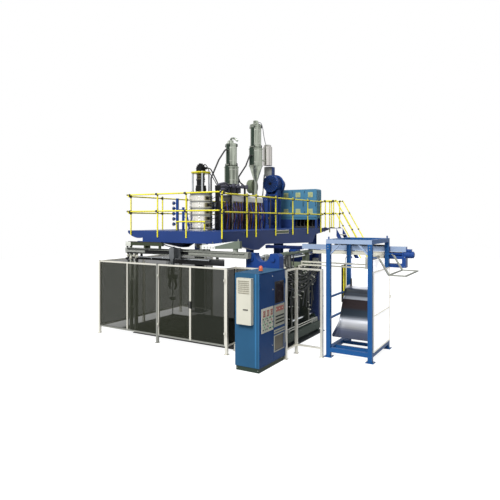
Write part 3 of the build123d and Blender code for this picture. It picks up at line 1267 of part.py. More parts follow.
def transfer_carriage():
    """Shoe on the guide beam, a boom into the station, and twin arms that reach the mould line."""
    low = GUIDE_Z[0] - 60
    shoe_x = around(TRANSFER_X, 320)
    hang = block(shoe_x, (AXIS_Y - 110, AXIS_Y + 110), (low, GUIDE_Z[1] - 14))
    hang -= block(shoe_x, around(AXIS_Y, 90 + 2 * SEAT), (GUIDE_Z[0] - SEAT, GUIDE_Z[1]))
    boom_x = around(TRANSFER_X, 120)
    add("transfer_carriage", hang, block(boom_x, (ARM_Y - 50, AXIS_Y - 110), (low, low + 80)))
    add("transfer_carriage", block(boom_x, around(ARM_Y, 100), (ARM_Z[0] - 20, low)))
    for z in ARM_Z:
        add("transfer_carriage", block((ARM_TIP_X, boom_x[0]), around(ARM_Y, 40), around(z, 36)))
    plate_x = (ARM_TIP_X - 14, ARM_TIP_X)
    add("transfer_carriage", block(plate_x, around(ARM_Y, 90), (ARM_Z[0] - 60, ARM_Z[1] + 20)))
    for side in (-1, 1):
        jaw_y = tuple(sorted((ARM_Y + side * 20, ARM_Y + side * 32)))
        jaw = [(plate_x[0], 2070), (plate_x[0] - 90, 2050), (plate_x[0] - 70, 1950),
               (plate_x[0] - 50, 1950), (plate_x[0] - 60, 2025), (plate_x[0], 2030)]
        add("transfer_carriage", plate_xz(jaw, jaw_y))


SWING_X = STATION_X[1] + 88
SWING_Z = 2380


def swing_guard(x1, y0, y1):
    """Hinged frame that hangs beside the station; two bent arms carry it."""
    bar = 30
    near, far = y0 + TUBE + 40, y1 - TUBE - 40
    low = 2000
    frame = block((2150, 2550), (near - 25, far + 25), around(low, bar))
    frame -= block((2150 + bar, 2550 - bar), (near - 25 + bar, far + 25 - bar), around(low, bar))
    for end, drop, place in ((near, 1, Pos(SWING_X, y0 + TUBE / 2, SWING_Z) * Rot(-90, 0, 0)),
                             (far, -1, Pos(SWING_X, y1 - TUBE / 2, SWING_Z) * Rot(90, 0, 0))):
        pad = tuple(sorted((drop * 12, drop * -4)))
        fixed, moving = lift_off_hinge(place, ((x1 - SWING_X, 0), (-10, 10)), ((0, 24), pad))
        add("station_frame", fixed)
        root = SWING_X + KNUCKLE_R - 1
        arm = [(root, SWING_Z - 4), (root, SWING_Z + 4), (SWING_X + 24, SWING_Z + 4),
               (2150 + 40, low), (2150, low)]
        frame += moving + plate_xz(arm, around(end, 14))
    add("swing_guard", frame)


def flexible_lines():
    """Suction and vacuum hoses of the loaders, and the oil line of the shot cylinder."""
    x = HEAD_X
    side_port = SIDE_LOADER_Y - SIDE_LOADER_R[0] - PORT_L
    tall_port = TALL_LOADER_Y - TALL_LOADER_R[1] - PORT_L
    tray_y = SIDE_LOADER_Y + 375
    blower_face = BLOWER_X - 170
    suction = [
        [(x, side_port, PORT_Z), (x, side_port - 140, PORT_Z), (x - 80, side_port - 400, 5200),
         (x - 230, side_port - 620, 4600), (x - 230, side_port - 620, DECK_TOP)],
        [(x, tall_port, PORT_Z), (x, tall_port - 140, PORT_Z), (x + 20, 5600, 5150),
         (x + 40, tray_y, 4700), (x + 40, tray_y, TRAY_TOP)],
        [(blower_face, BLOWER_Y, BLOWER_Z), (blower_face - 130, BLOWER_Y, BLOWER_Z),
         (blower_face - 130, 6100, 4620), (x - 240, 5500, 4760), (x - 90, tray_y, 4720),
         (x - 90, tray_y, TRAY_TOP)],
    ]
    for points in suction:
        add("hoses", hose(points, [110] * (len(points) - 2), 26))
    port = (x + 190, MOULD_Y + 30, YOKE_TOP + 110)
    oil = [port, (x + 330, port[1], port[2]), (x + 330, MOULD_Y + 420, YOKE_TOP - 320),
           (x + 330, MOULD_Y + 600, 3900), (x + 330, MOULD_Y + 600, DECK_TOP)]
    add("hoses", hose(oil, [90] * 3, 18))


def seat_on_floor():
    """Shift that puts the middle of the whole machine's footprint on the origin."""
    boxes = [solid.bounding_box() for solids in nodes.values() for solid in solids]
    low = [min(getattr(box.min, axis) for box in boxes) for axis in "XYZ"]
    high = [max(getattr(box.max, axis) for box in boxes) for axis in "XYZ"]
    return (-(low[0] + high[0]) / 2, -(low[1] + high[1]) / 2, -low[2])


def save(shift):
    os.makedirs("parts", exist_ok=True)
    for name, solids in nodes.items():
        whole = solids[0] if len(solids) == 1 else Compound(children=solids)
        export_step(Pos(*shift) * whole, f"parts/{name}.step")


def main():
    perimeter_guard()
    guard_leaf("left_guard_door", "left_door_panel", LEFT_HINGE_X, LEAF_MEET_X)
    guard_leaf("right_guard_door", "right_door_panel", RIGHT_HINGE_X, LEAF_MEET_X)
    floor_track()
    clamp()
    platform()
    columns()
    guard_rails()
    stair()
    accumulator_head()
    yoke()
    extruder()
    materials_line()
    switch_cabinet()
    cooling_manifold()
    gantry()
    cabinet()
    station()
    flexible_lines()


main()
SHIFT = seat_on_floor()
save(SHIFT)
print("nodes", len(nodes), "shift", [round(value, 3) for value in SHIFT])
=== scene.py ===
from math import cos, pi, radians, sin
from random import Random

import bmesh
import bpy
from mathutils import Matrix, Vector


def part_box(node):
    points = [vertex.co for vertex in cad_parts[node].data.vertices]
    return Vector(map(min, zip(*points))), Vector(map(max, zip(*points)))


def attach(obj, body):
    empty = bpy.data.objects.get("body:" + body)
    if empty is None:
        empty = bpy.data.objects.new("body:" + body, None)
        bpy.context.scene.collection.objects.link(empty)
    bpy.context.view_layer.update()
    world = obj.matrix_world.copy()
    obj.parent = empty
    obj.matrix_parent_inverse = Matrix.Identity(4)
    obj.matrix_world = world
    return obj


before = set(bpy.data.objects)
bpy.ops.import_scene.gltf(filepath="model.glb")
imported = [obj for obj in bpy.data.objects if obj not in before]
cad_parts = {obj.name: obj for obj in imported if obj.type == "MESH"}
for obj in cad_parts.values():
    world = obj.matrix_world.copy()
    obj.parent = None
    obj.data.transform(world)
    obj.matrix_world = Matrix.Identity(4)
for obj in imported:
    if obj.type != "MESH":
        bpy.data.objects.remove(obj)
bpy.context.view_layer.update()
print("stage: frame loaded")

# Layout of the machine, in millimetres: zero is the near bottom corner of the control cabinet
cabinetLow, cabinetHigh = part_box("control_cabinet")
layoutZero = Vector((cabinetLow.x + 0.6, cabinetLow.y, 0))


def at(x, y, z):
    return layoutZero + Vector((x, y, z)) / 1000


def layoutBox(node):  # a CAD node's box at rest, in layout millimetres
    low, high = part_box(node)
    return (low - layoutZero) * 1000, (high - layoutZero) * 1000


# Materials

def linear(code):  # sRGB hex to a linear colour
    values = [int(code[i:i + 2], 16) / 255 for i in (1, 3, 5)]
    return [v / 12.92 if v <= 0.04045 else ((v + 0.055) / 1.055) ** 2.4 for v in values] + [1]


def shade(code, factor):  # the same hue, lighter or darker
    return [min(1, v * factor) for v in linear(code)[:3]] + [1]


def addNode(material, kind, settings=None, links=None):
    node = material.node_tree.nodes.new(kind)
    for key, value in (settings or {}).items():
        if key == "stops":
            elements = node.color_ramp.elements
            elements[0].position, elements[0].color = value[0]
            elements[1].position, elements[1].color = value[-1]
            for position, colour in value[1:-1]:
                elements.new(position).color = colour
        elif key in node.inputs:
            node.inputs[key].default_value = value
        else:
            setattr(node, key, value)
    for key, socket in (links or {}).items():
        material.node_tree.links.new(socket, node.inputs[key])
    return node


def newMaterial(name):
    material = bpy.data.materials.new(name)
    material.use_nodes = True
    material.node_tree.nodes.clear()
    return material


def closeMaterial(material, settings, links=None):
    shader = addNode(material, "ShaderNodeBsdfPrincipled", settings, links)
    addNode(material, "ShaderNodeOutputMaterial", None, {"Surface": shader.outputs["BSDF"]})
    return material


def sprayedEnamel(name, colour, roughness=0.3, spread=0.07, peel=0.012, bump=0.12):
    # Gloss enamel sprayed on welded plate: soft reflections with orange peel, a little uneven in depth.
    # Real peel is about 3 mm, drawn at 12 mm so that it shows.
    material = newMaterial(name)
    coords = addNode(material, "ShaderNodeTexCoord")
    broad = addNode(material, "ShaderNodeTexNoise", {"Scale": 0.9, "Detail": 5.0},
                    {"Vector": coords.outputs["Object"]})
    tone = addNode(material, "ShaderNodeValToRGB",
                   {"stops": [(0.35, shade(colour, 1 - spread)), (0.65, shade(colour, 1 + spread))]},
                   {"Fac": broad.outputs["Fac"]})
    gloss = addNode(material, "ShaderNodeMapRange",
                    {"To Min": roughness - 0.05, "To Max": roughness + 0.08},
                    {"Value": broad.outputs["Fac"]})
    fine = addNode(material, "ShaderNodeTexNoise", {"Scale": 1 / peel, "Detail": 1.0},
                   {"Vector": coords.outputs["Object"]})
    relief = addNode(material, "ShaderNodeBump", {"Strength": bump, "Distance": 0.001},
                     {"Height": fine.outputs["Fac"]})
    return closeMaterial(material, {"IOR": 1.5, "Specular IOR Level": 0.12},
                         {"Base Color": tone.outputs["Color"], "Roughness": gloss.outputs["Result"],
                          "Normal": relief.outputs["Normal"]})


def powderCoat(name, colour, roughness=0.45):
    # Baked polyester powder: even colour, fine pebbled skin of about 1 mm, drawn at 4 mm.
    material = newMaterial(name)
    coords = addNode(material, "ShaderNodeTexCoord")
    pebble = addNode(material, "ShaderNodeTexNoise", {"Scale": 250.0, "Detail": 2.0},
                     {"Vector": coords.outputs["Object"]})
    broad = addNode(material, "ShaderNodeTexNoise", {"Scale": 1.6, "Detail": 3.0},
                    {"Vector": coords.outputs["Object"]})
    tone = addNode(material, "ShaderNodeValToRGB",
                   {"stops": [(0.3, shade(colour, 0.93)), (0.7, shade(colour, 1.07))]},
                   {"Fac": broad.outputs["Fac"]})
    relief = addNode(material, "ShaderNodeBump", {"Strength": 0.15, "Distance": 0.0006},
                     {"Height": pebble.outputs["Fac"]})
    return closeMaterial(material, {"Roughness": roughness, "IOR": 1.5, "Specular IOR Level": 0.12},
                         {"Base Color": tone.outputs["Color"], "Normal": relief.outputs["Normal"]})


def brushedMetal(name, colour, roughness, grain, stretch=(1, 1, 0.04), spread=0.16):
    # Belt-ground sheet: fine streaks along one way that blur highlights across them.
    # Real grit lines are 0.1 mm apart, drawn a few millimetres apart.
    material = newMaterial(name)
    coords = addNode(material, "ShaderNodeTexCoord")
    lay = addNode(material, "ShaderNodeMapping", {"Scale": stretch},
                  {"Vector": coords.outputs["Object"]})
    streak = addNode(material, "ShaderNodeTexNoise", {"Scale": grain, "Detail": 3.0},
                     {"Vector": lay.outputs["Vector"]})
    tone = addNode(material, "ShaderNodeValToRGB",
                   {"stops": [(0.3, shade(colour, 1 - spread)), (0.7, shade(colour, 1 + spread))]},
                   {"Fac": streak.outputs["Fac"]})
    gloss = addNode(material, "ShaderNodeMapRange",
                    {"To Min": roughness - 0.06, "To Max": roughness + 0.1},
                    {"Value": streak.outputs["Fac"]})
    return closeMaterial(material, {"Metallic": 1.0},
                         {"Base Color": tone.outputs["Color"], "Roughness": gloss.outputs["Result"]})


def sheenAndShadeSheet(name, axis, low, high, bands, roughness=0.3, grain=18.0, stretch=(0.04, 1, 1)):
    # Rolled stainless with painted light: bright zones are painted highlight and reflection, dark zones
    # are painted shade, which gives the eye its light and dark zones. They lie along one axis, a little
    # ragged.
    material = newMaterial(name)
    coords = addNode(material, "ShaderNodeTexCoord")
    lay = addNode(material, "ShaderNodeMapping", {"Scale": stretch},
                  {"Vector": coords.outputs["Object"]})
    streak = addNode(material, "ShaderNodeTexNoise", {"Scale": grain, "Detail": 3.0},
                     {"Vector": lay.outputs["Vector"]})
    axes = addNode(material, "ShaderNodeSeparateXYZ", None, {"Vector": coords.outputs["Object"]})
    zero = layoutZero["XYZ".index(axis)]
    place = addNode(material, "ShaderNodeMapRange",
                    {"From Min": zero + low / 1000, "From Max": zero + high / 1000},
                    {"Value": axes.outputs[axis]})
    ragged = addNode(material, "ShaderNodeMath", {"operation": "MULTIPLY_ADD"},
                     {0: streak.outputs["Fac"], 2: place.outputs["Result"]})
    ragged.inputs[1].default_value = 0.05
    tone = addNode(material, "ShaderNodeValToRGB",
                   {"stops": [((mm - low) / (high - low) + 0.025, linear(code)) for mm, code in bands]},
                   {"Fac": ragged.outputs["Value"]})
    gloss = addNode(material, "ShaderNodeMapRange",
                    {"To Min": roughness - 0.06, "To Max": roughness + 0.1},
                    {"Value": streak.outputs["Fac"]})
    return closeMaterial(material, {"Metallic": 1.0},
                         {"Base Color": tone.outputs["Color"], "Roughness": gloss.outputs["Result"]})


def machinedSteel(name, colour, roughness=0.38, metallic=1.0, mottle=6.0):
    # Turned or milled steel with an oily film: cloudy patches in its gloss, no clear grain.
    material = newMaterial(name)
    coords = addNode(material, "ShaderNodeTexCoord")
    cloud = addNode(material, "ShaderNodeTexNoise", {"Scale": mottle, "Detail": 6.0},
                    {"Vector": coords.outputs["Object"]})
    tone = addNode(material, "ShaderNodeValToRGB",
                   {"stops": [(0.3, shade(colour, 0.82)), (0.7, shade(colour, 1.12))]},
                   {"Fac": cloud.outputs["Fac"]})
    gloss = addNode(material, "ShaderNodeMapRange",
                    {"To Min": roughness - 0.08, "To Max": roughness + 0.12},
                    {"Value": cloud.outputs["Fac"]})
    return closeMaterial(material, {"Metallic": metallic},
                         {"Base Color": tone.outputs["Color"], "Roughness": gloss.outputs["Result"]})


def mouldedPlastic(name, colour, roughness=0.5, glow=0.0):
    # Injection-moulded ABS or nylon: even colour, faint spark-eroded grain of 0.5 mm, drawn at 3 mm.
    material = newMaterial(name)
    coords = addNode(material, "ShaderNodeTexCoord")
    grain = addNode(material, "ShaderNodeTexNoise", {"Scale": 330.0},
                    {"Vector": coords.outputs["Object"]})
    relief = addNode(material, "ShaderNodeBump", {"Strength": 0.1, "Distance": 0.0004},
                     {"Height": grain.outputs["Fac"]})
    return closeMaterial(material, {"Base Color": linear(colour), "Roughness": roughness, "IOR": 1.49,
                                    "Emission Color": linear(colour), "Emission Strength": glow},
                         {"Normal": relief.outputs["Normal"]})


def plasticSheet(name, colour, alpha, roughness=0.12, specular=0.5, glow=0.0):
    # Extruded polycarbonate: glossy, tinted through; a slow ripple of the extrusion bends reflections.
    material = newMaterial(name)
    coords = addNode(material, "ShaderNodeTexCoord")
    wave = addNode(material, "ShaderNodeTexNoise", {"Scale": 1.5, "Detail": 1.0},
                   {"Vector": coords.outputs["Object"]})
    relief = addNode(material, "ShaderNodeBump", {"Strength": 0.1, "Distance": 0.01},
                     {"Height": wave.outputs["Fac"]})
    return closeMaterial(material, {"Base Color": linear(colour), "Roughness": roughness, "IOR": 1.58,
                                    "Specular IOR Level": specular, "Emission Color": linear(colour),
                                    "Emission Strength": glow, "Alpha": alpha},
                         {"Normal": relief.outputs["Normal"]})


platformEnamel = sprayedEnamel("gloss enamel ultramarine", "#253b70", 0.42)
stationEnamel = sprayedEnamel("gloss enamel station blue", "#1d4d82", 0.42)
paleBlueEnamel = sprayedEnamel("gloss enamel pale blue", "#8b9bb4", 0.4)
motorEnamel = sprayedEnamel("cast iron enamel royal blue", "#21407c", 0.4, bump=0.25)
yellowEnamel = sprayedEnamel("gloss enamel signal yellow", "#dfd436", 0.36)
greyEnamel = sprayedEnamel("satin enamel light grey", "#8f918b", 0.5)
beamEnamel = sprayedEnamel("satin enamel beam grey", "#85877f", 0.5)
oliveEnamel = sprayedEnamel("satin enamel grey green", "#6b735f", 0.5)
darkEnamel = sprayedEnamel("satin enamel black", "#141517", 0.45)
plinthEnamel = sprayedEnamel("satin enamel dark olive", "#2b372e", 0.5)
clampEnamel = sprayedEnamel("gloss enamel deep blue", "#1a3a77", 0.42)
# A darker copy of the blue enamel: painted shade
shadedBlueEnamel = sprayedEnamel("gloss enamel blue, painted shade", "#13214a", 0.45)
trayEnamel = sprayedEnamel("satin enamel tray olive", "#383e2f", 0.5)
legEnamel = sprayedEnamel("satin enamel leg grey", "#a4a69c", 0.5)
armEnamel = sprayedEnamel("satin enamel arm grey", "#687165", 0.5)
cabinetPowder = powderCoat("polyester powder mid blue", "#27506f", 0.5)
# A darker copy of the cabinet blue for the door side: painted shade
doorSideShadePowder = powderCoat("polyester powder blue, painted shade of the door side", "#0d3769", 0.5)
stilePowder = powderCoat("polyester powder light blue", "#336a94", 0.4)
switchPowder = powderCoat("polyester powder steel blue", "#45748f")
creamPowder = powderCoat("polyester powder cream", "#c1bfb1", 0.5)
shadePowder = powderCoat("polyester powder beige", "#8f8876", 0.5)
ventPowder = powderCoat("polyester powder pale green grey", "#a3ab80")
anodisedProfile = brushedMetal("natural anodised aluminium", "#d4d2c8", 0.5, 60, (1, 1, 0.03), 0.04)
railAlloy = brushedMetal("scuffed anodised aluminium", "#8e8f89", 0.5, 60, (1, 1, 0.03), 0.06)
brushedStainless = brushedMetal("ground stainless sheet", "#959b8f", 0.28, 16, (1, 1, 0.03), 0.55)
filterStainless = brushedMetal("polished filter drum", "#b7b4b0", 0.26, 16, (1, 1, 0.03), 0.4)
coverPowder = powderCoat("insulated cover powder pale grey", "#f3f2e8", 0.45)
# Chute sheet: its bright and dark zones up the height are painted reflection and painted shade
chuteSheenAndShade = sheenAndShadeSheet("rolled stainless chute sheet, painted reflection and shade", "Z", 455, 1555, [
    (455, "#5b6275"), (560, "#6a7188"), (605, "#8f94a4"), (650, "#cfd1d6"), (750, "#cfd1d6"),
    (800, "#80848b"), (845, "#454a51"), (880, "#272e35"), (1000, "#20272e"), (1060, "#241f20"),
    (1240, "#241f20"), (1262, "#6f7379"), (1310, "#64686e"), (1335, "#2c3036"), (1400, "#3b4047"),
    (1485, "#575c64"), (1500, "#b4b6bb")])
# Heater bands: the near white zone is a painted highlight, the dark and brown zones are painted shade
bandHighlightAndShade = sheenAndShadeSheet("heater band stainless, painted highlight and shade", "Y", 2640, 3360, [
    (2650, "#eeebe4"), (2765, "#f2efe9"), (2795, "#b5b0a2"), (2825, "#716c52"), (2920, "#545040"),
    (2985, "#7d7964"), (3060, "#5d594a"), (3340, "#8b887c")], 0.24, 40, (1, 1, 0.03))
oiledSteel = machinedSteel("oiled machined steel", "#6f7274")
blackSteel = machinedSteel("blackened steel", "#1d1e1f", 0.45, 0.6)
platenSteel = machinedSteel("oil-blackened platen steel", "#262a1e", 0.45, 0.6)
hardChrome = machinedSteel("ground hard chrome", "#b9bdc0", 0.2)
zincSteel = machinedSteel("zinc plated fixings", "#b5b6ae", 0.34)
brassSteel = machinedSteel("brass fittings", "#b9974f", 0.35)
rolledPlate = machinedSteel("mill scale floor plate", "#2f3234", 0.6, 0.4, 3.0)
smokedSheet = plasticSheet("smoke tinted polycarbonate", "#222517", 0.56, 0.2, 0.12)
# A denser tint of the same sheet: painted shade of the dark space behind it
shadeSmokeSheet = plasticSheet("smoke tinted polycarbonate, painted shade", "#2c2e28", 0.78, 0.3, 0.0)
clearSheet = plasticSheet("clear polycarbonate", "#5a6466", 0.02, 0.3, 0.05)
# The opal sheet glows though it is no lamp: painted light
glowingWhiteSheet = plasticSheet("opal white sheet, painted glow", "#f1f0f2", 1.0, 0.4, 0.3, 0.55)
screenGlass = plasticSheet("dark screen glass", "#1c1016", 1.0, 0.2, 0.1)
windowGlass = machinedSteel("brown tinted window with wiring behind", "#453f2c", 0.4, 0.0, 9.0)
blackPlastic = mouldedPlastic("glass filled nylon black", "#101113", 0.5)
paleGrey = mouldedPlastic("moulded plastic light grey", "#c2c4bb", 0.5)
whitePlastic = mouldedPlastic("moulded plastic white", "#dcdedb", 0.5)
panelGrey = mouldedPlastic("lacquered panel warm grey", "#98998a", 0.5)
greenPlastic = mouldedPlastic("acrylic button green", "#2a8a5c", 0.3)
redPlastic = mouldedPlastic("acrylic button red", "#96473a", 0.3)
brownPlastic = mouldedPlastic("cable sheath red brown", "#5b2f22", 0.55)
bluePlastic = mouldedPlastic("polyurethane tube blue", "#24439c", 0.35)
orangeDome = mouldedPlastic("tinted dome orange", "#b9532f", 0.3, 0.1)
blackRubber = mouldedPlastic("braided hose rubber", "#232425", 0.65)
greyRubber = mouldedPlastic("corrugated hose grey violet", "#4a4a57", 0.6)

nodeLooks = {
    platformEnamel: ["platform_girders", "platform_columns", "gearbox", "stair"],
    clampEnamel: ["clamp_frame"],
    coverPowder: ["barrel_cover"],
    stationEnamel: ["station_frame"],
    motorEnamel: ["drive_motor", "cooling_manifold", "transfer_axis"],
    yellowEnamel: ["guard_rails", "head_yoke", "light_curtain"],
    greyEnamel: ["cabinet_gear", "gantry_beams", "loader_stand"],
    platenSteel: ["front_platen", "rear_platen"],
    darkEnamel: ["clamp_cylinders", "shot_cylinder"],
    oliveEnamel: ["vacuum_blower"],
    cabinetPowder: ["control_cabinet"],
    doorSideShadePowder: ["near_cabinet_door", "far_cabinet_door"],
    switchPowder: ["switch_cabinet"],
    creamPowder: ["cooling_unit", "button_panel", "transfer_carriage", "transfer_guide"],
    beamEnamel: ["swing_guard"],
    anodisedProfile: ["fence_frame", "left_guard_door", "right_guard_door"],
    brushedStainless: ["material_loaders", "loader_lid"],
    chuteSheenAndShade: ["parts_chute"],
    bandHighlightAndShade: ["heater_bands"],
    oiledSteel: ["accumulator_head", "die_head", "extruder_barrel", "extruder_screw",
                 "gantry_carriage", "gripper"],
    hardChrome: ["tie_rods", "shot_piston"],
    rolledPlate: ["floor_track"],
    smokedSheet: ["fence_panels", "left_door_panel", "right_door_panel"],
    clearSheet: ["clear_panels"],
    screenGlass: ["door_glazing"],
    panelGrey: ["display_panel"],
    blackPlastic: ["energy_chain", "push_button_2", "push_button_5"],
    greenPlastic: ["push_button_1", "push_button_4"],
    redPlastic: ["push_button_3"],
    orangeDome: ["signal_lamp"],
    blackRubber: ["hoses"],
}
for material, names in nodeLooks.items():
    for name in names:
        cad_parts[name].data.materials.clear()
        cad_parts[name].data.materials.append(material)


def paint(node, material, x=None, y=None, z=None):
    # Gives a second finish to those faces of a CAD node whose middles lie in a box, in layout millimetres
    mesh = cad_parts[node].data
    if material.name not in mesh.materials:
        mesh.materials.append(material)
    slot = mesh.materials.find(material.name)
    for polygon in mesh.polygons:
        middle = (polygon.center - layoutZero) * 1000
        if all(span is None or span[0] <= value <= span[1]
               for span, value in zip((x, y, z), middle)):
            polygon.material_index = slot


# Named places on the machine, in layout millimetres
head = {"x": -3770, "y": 3000, "bands": 5, "bandBottom": 2991, "bandPitch": 203, "bandR": 350,
        "ringZ": 4040, "top": 4700}
deck = {"top": 2923, "front": 1675, "right": -2095}
switchLow = layoutBox("switch_cabinet")[0]
stationLow = layoutBox("station_frame")[0]
clampLow, clampHigh = layoutBox("clamp_frame")

paint("head_yoke", hardChrome, z=(head["ringZ"] + 60, head["top"] - 60))
paint("head_yoke", oliveEnamel, z=(head["ringZ"] - 5, head["ringZ"] + 44.9))
# The head's lower rim takes the bands' painted highlight and shade
paint("accumulator_head", bandHighlightAndShade, z=(2900, 3000))
paint("switch_cabinet", ventPowder, y=(-1e5, switchLow.y + 19.5), z=(3320, 4430))
paint("switch_cabinet", platformEnamel, z=(2900, 3261))
# The door side of the cabinet takes the darker powder: painted shade
paint("control_cabinet", doorSideShadePowder, x=(-3, 40), z=(100, 2099))
paint("control_cabinet", plinthEnamel, z=(-1, 99.5))
paint("loader_stand", greyRubber, z=(4315, 4400))
paint("loader_stand", darkEnamel, z=(2900, 4315))
paint("extruder_barrel", motorEnamel, x=(-3900, -3560), z=(3380, 3580))
paint("gantry_beams", darkEnamel, x=(-4599, -3021), z=(2266, 2424))
paint("gantry_beams", darkEnamel, x=(-5000, -2000), z=(2090, 2263))
paint("gantry_beams", trayEnamel, x=(-5400, -3950), z=(2426, 2600))
paint("gantry_beams", beamEnamel, x=(-3019, -1100), z=(2264, 2426))
paint("gantry_beams", armEnamel, x=(-2560, -1400), z=(2466, 2706))
paint("gantry_beams", whitePlastic, x=(-2600, -2100), y=(1400, 1471), z=(2427, 2600))
paint("gantry_beams", legEnamel, x=(-5300, -4900), z=(10, 2264))
# These sheets take the glowing opal material: painted light
paint("clear_panels", glowingWhiteSheet, x=(780, 1900), z=(200, 2300))
# Painted shade: the clamp frame's +X side and rear crosshead take the darker blue
paint("clamp_frame", shadedBlueEnamel, x=(clampHigh.x - 25, clampHigh.x + 1), y=(2000, 5000))
paint("clamp_frame", shadedBlueEnamel, y=(4080, 4360), z=(471, 2330))
paint("clamp_frame", plinthEnamel, z=(-1, 470))
paint("transfer_axis", paleBlueEnamel, x=(-900, 1750), z=(2380, 2560))
paint("fence_panels", clearSheet, x=(-40, 40), y=(1200, 1900))
# These panels take the denser tint: painted shade for the dark space behind them
paint("fence_panels", shadeSmokeSheet, x=(-1400, -41), y=(850, 1260))
paint("right_door_panel", shadeSmokeSheet, x=(-2440, -1400))
paint("material_loaders", filterStainless, x=(-3790, -3400), y=(6715, 7090), z=(5265, 6025))
paint("front_platen", greyEnamel, z=(1900, 2600))
paint("rear_platen", oliveEnamel, z=(1900, 2600))
paint("station_frame", paleBlueEnamel, x=(700, 1850), y=(stationLow.y - 1, stationLow.y + 51),
      z=(2685, 2781))
paint("station_frame", paleBlueEnamel, x=(860, 1690), y=(stationLow.y - 1, stationLow.y + 100),
      z=(2340, 2679))
paint("display_panel", redPlastic, y=(720, 1120), x=(13, 30), z=(1190, 1290))
paint("display_panel", darkEnamel, x=(15, 30), z=(900, 1110))
paint("button_panel", redPlastic, x=(13, 30), z=(1160, 1290))
paint("far_cabinet_door", panelGrey, x=(1, 9), z=(290, 670))
for node in ("fence_frame", "left_guard_door", "right_guard_door"):
    paint(node, railAlloy, y=(780, 900), z=(180, 231))
paint("fence_frame", railAlloy, x=(-3610, -3530), y=(780, 900), z=(5, 2060))
paint("cooling_unit", blackPlastic, y=(-123, -110.5), z=(1329, 1351))
paint("door_glazing", windowGlass, z=(300, 660))
paint("light_curtain", blackPlastic, x=(790, 825.5))
print("stage: materials on the CAD nodes")


# Pieces are drawn in layout millimetres and their objects stay at the origin

def around(middle, reach):
    return middle - reach, middle + reach


def addBlock(bm, x, y, z, bevel=0.0):
    size = [max(side) - min(side) for side in (x, y, z)]
    place = Matrix.Translation(at(sum(x) / 2, sum(y) / 2, sum(z) / 2))
    matrix = place @ Matrix.Diagonal((*[side / 1000 for side in size], 1))
    made = bmesh.ops.create_cube(bm, size=1, matrix=matrix)
    if bevel:
        edges = list(dict.fromkeys(edge for vert in made["verts"] for edge in vert.link_edges))
        bmesh.ops.bevel(bm, geom=edges, offset=bevel / 1000, affect="EDGES", segments=2,
                        profile=0.5, material=-1)


def addRod(bm, start, end, radius, endRadius=None, sides=16):
    a, b = at(*start), at(*end)
    turn = (b - a).to_track_quat("Z", "Y").to_matrix().to_4x4()
    bmesh.ops.create_cone(bm, cap_ends=True, cap_tris=False, segments=sides, radius1=radius / 1000,
                          radius2=(radius if endRadius is None else endRadius) / 1000,
                          depth=(b - a).length, matrix=Matrix.Translation((a + b) / 2) @ turn)


def addBolt(bm, centre, axis, radius=12, height=9):  # a hexagon head, a little narrower at its top
    start = Vector(centre)
    addRod(bm, start, start + Vector(axis) * height, radius, radius * 0.92, 6)


def addRing(bm, centre, axis, radius, width, depth, steps=32):
    # A flat ring of rectangular section round an axis: radius is its middle line
    turn = Vector(axis).to_track_quat("Z", "Y").to_matrix()
    rows = []
    for step in range(steps):
        angle = 2 * pi * step / steps
        out = Vector((cos(angle), sin(angle), 0))
        row = []
        for side, height in ((-1, 0), (1, 0), (1, 1), (-1, 1)):
            local = out * (radius + side * width / 2) + Vector((0, 0, height * depth))
            row.append(bm.verts.new(at(*(Vector(centre) + turn @ local))))
        rows.append(row)
    for step in range(steps):
        here, there = rows[step], rows[(step + 1) % steps]
        for corner in range(4):
            follow = (corner + 1) % 4
            bm.faces.new((here[corner], here[follow], there[follow], there[corner]))


def smoothPath(points, spacing=40):
    # Catmull-Rom curve through given points
    controls = [Vector(point) for point in points]
    controls = [2 * controls[0] - controls[1]] + controls + [2 * controls[-1] - controls[-2]]
    path = []
    for a, b, c, d in zip(controls, controls[1:], controls[2:], controls[3:]):
        count = max(2, int((c - b).length / spacing))
        for step in range(count):
            t = step / count
            path.append(0.5 * (2 * b + (c - a) * t + (2 * a - 5 * b + 4 * c - d) * t * t
                               + (3 * b - a - 3 * c + d) * t ** 3))
    path.append(controls[-2])
    return path


def addTube(bm, points, radius, sides=8, spacing=40, ribs=0.0):
    path = smoothPath(points, spacing)
    side = Vector((0.31, 0.23, 0.92))  # any direction that no tube starts along
    rows = []
    for index, point in enumerate(path):
        run = (path[min(index + 1, len(path) - 1)] - path[max(index - 1, 0)]).normalized()
        side = (side - run * side.dot(run)).normalized()
        other = run.cross(side)
        size = radius * (1 + ribs * (index % 2))
        rows.append([bm.verts.new(at(*(point + (side * cos(2 * pi * k / sides)
                                                + other * sin(2 * pi * k / sides)) * size)))
                     for k in range(sides)])
    for here, there in zip(rows, rows[1:]):
        for k in range(sides):
            bm.faces.new((here[k], here[(k + 1) % sides], there[(k + 1) % sides], there[k]))
    bm.faces.new(list(reversed(rows[0])))
    bm.faces.new(rows[-1])


def addPrism(bm, corners, z):
    # An upright prism over a given outline, counter-clockwise from above
    low = [bm.verts.new(at(x, y, z[0])) for x, y in corners]
    high = [bm.verts.new(at(x, y, z[1])) for x, y in corners]
    bm.faces.new(list(reversed(low)))
    bm.faces.new(high)
    count = len(corners)
    for index in range(count):
        follow = (index + 1) % count
        bm.faces.new((low[index], low[follow], high[follow], high[index]))


def closePiece(name, bm, material, body="machine"):
    bmesh.ops.recalc_face_normals(bm, faces=bm.faces)
    mesh = bpy.data.meshes.new(name)
    bm.to_mesh(mesh)
    bm.free()
    mesh.materials.append(material)
    mesh.shade_smooth()
    mesh.set_sharp_from_angle(angle=radians(38))
    piece = bpy.data.objects.new(name, mesh)
    bpy.context.collection.objects.link(piece)
    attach(piece, body)


def makePiece(name, add, parts, material, body="machine"):
    # A piece whose parts are all of one sort: every entry holds what that add function takes
    bm = bmesh.new()
    for part in parts:
        add(bm, *part)
    closePiece(name, bm, material, body)


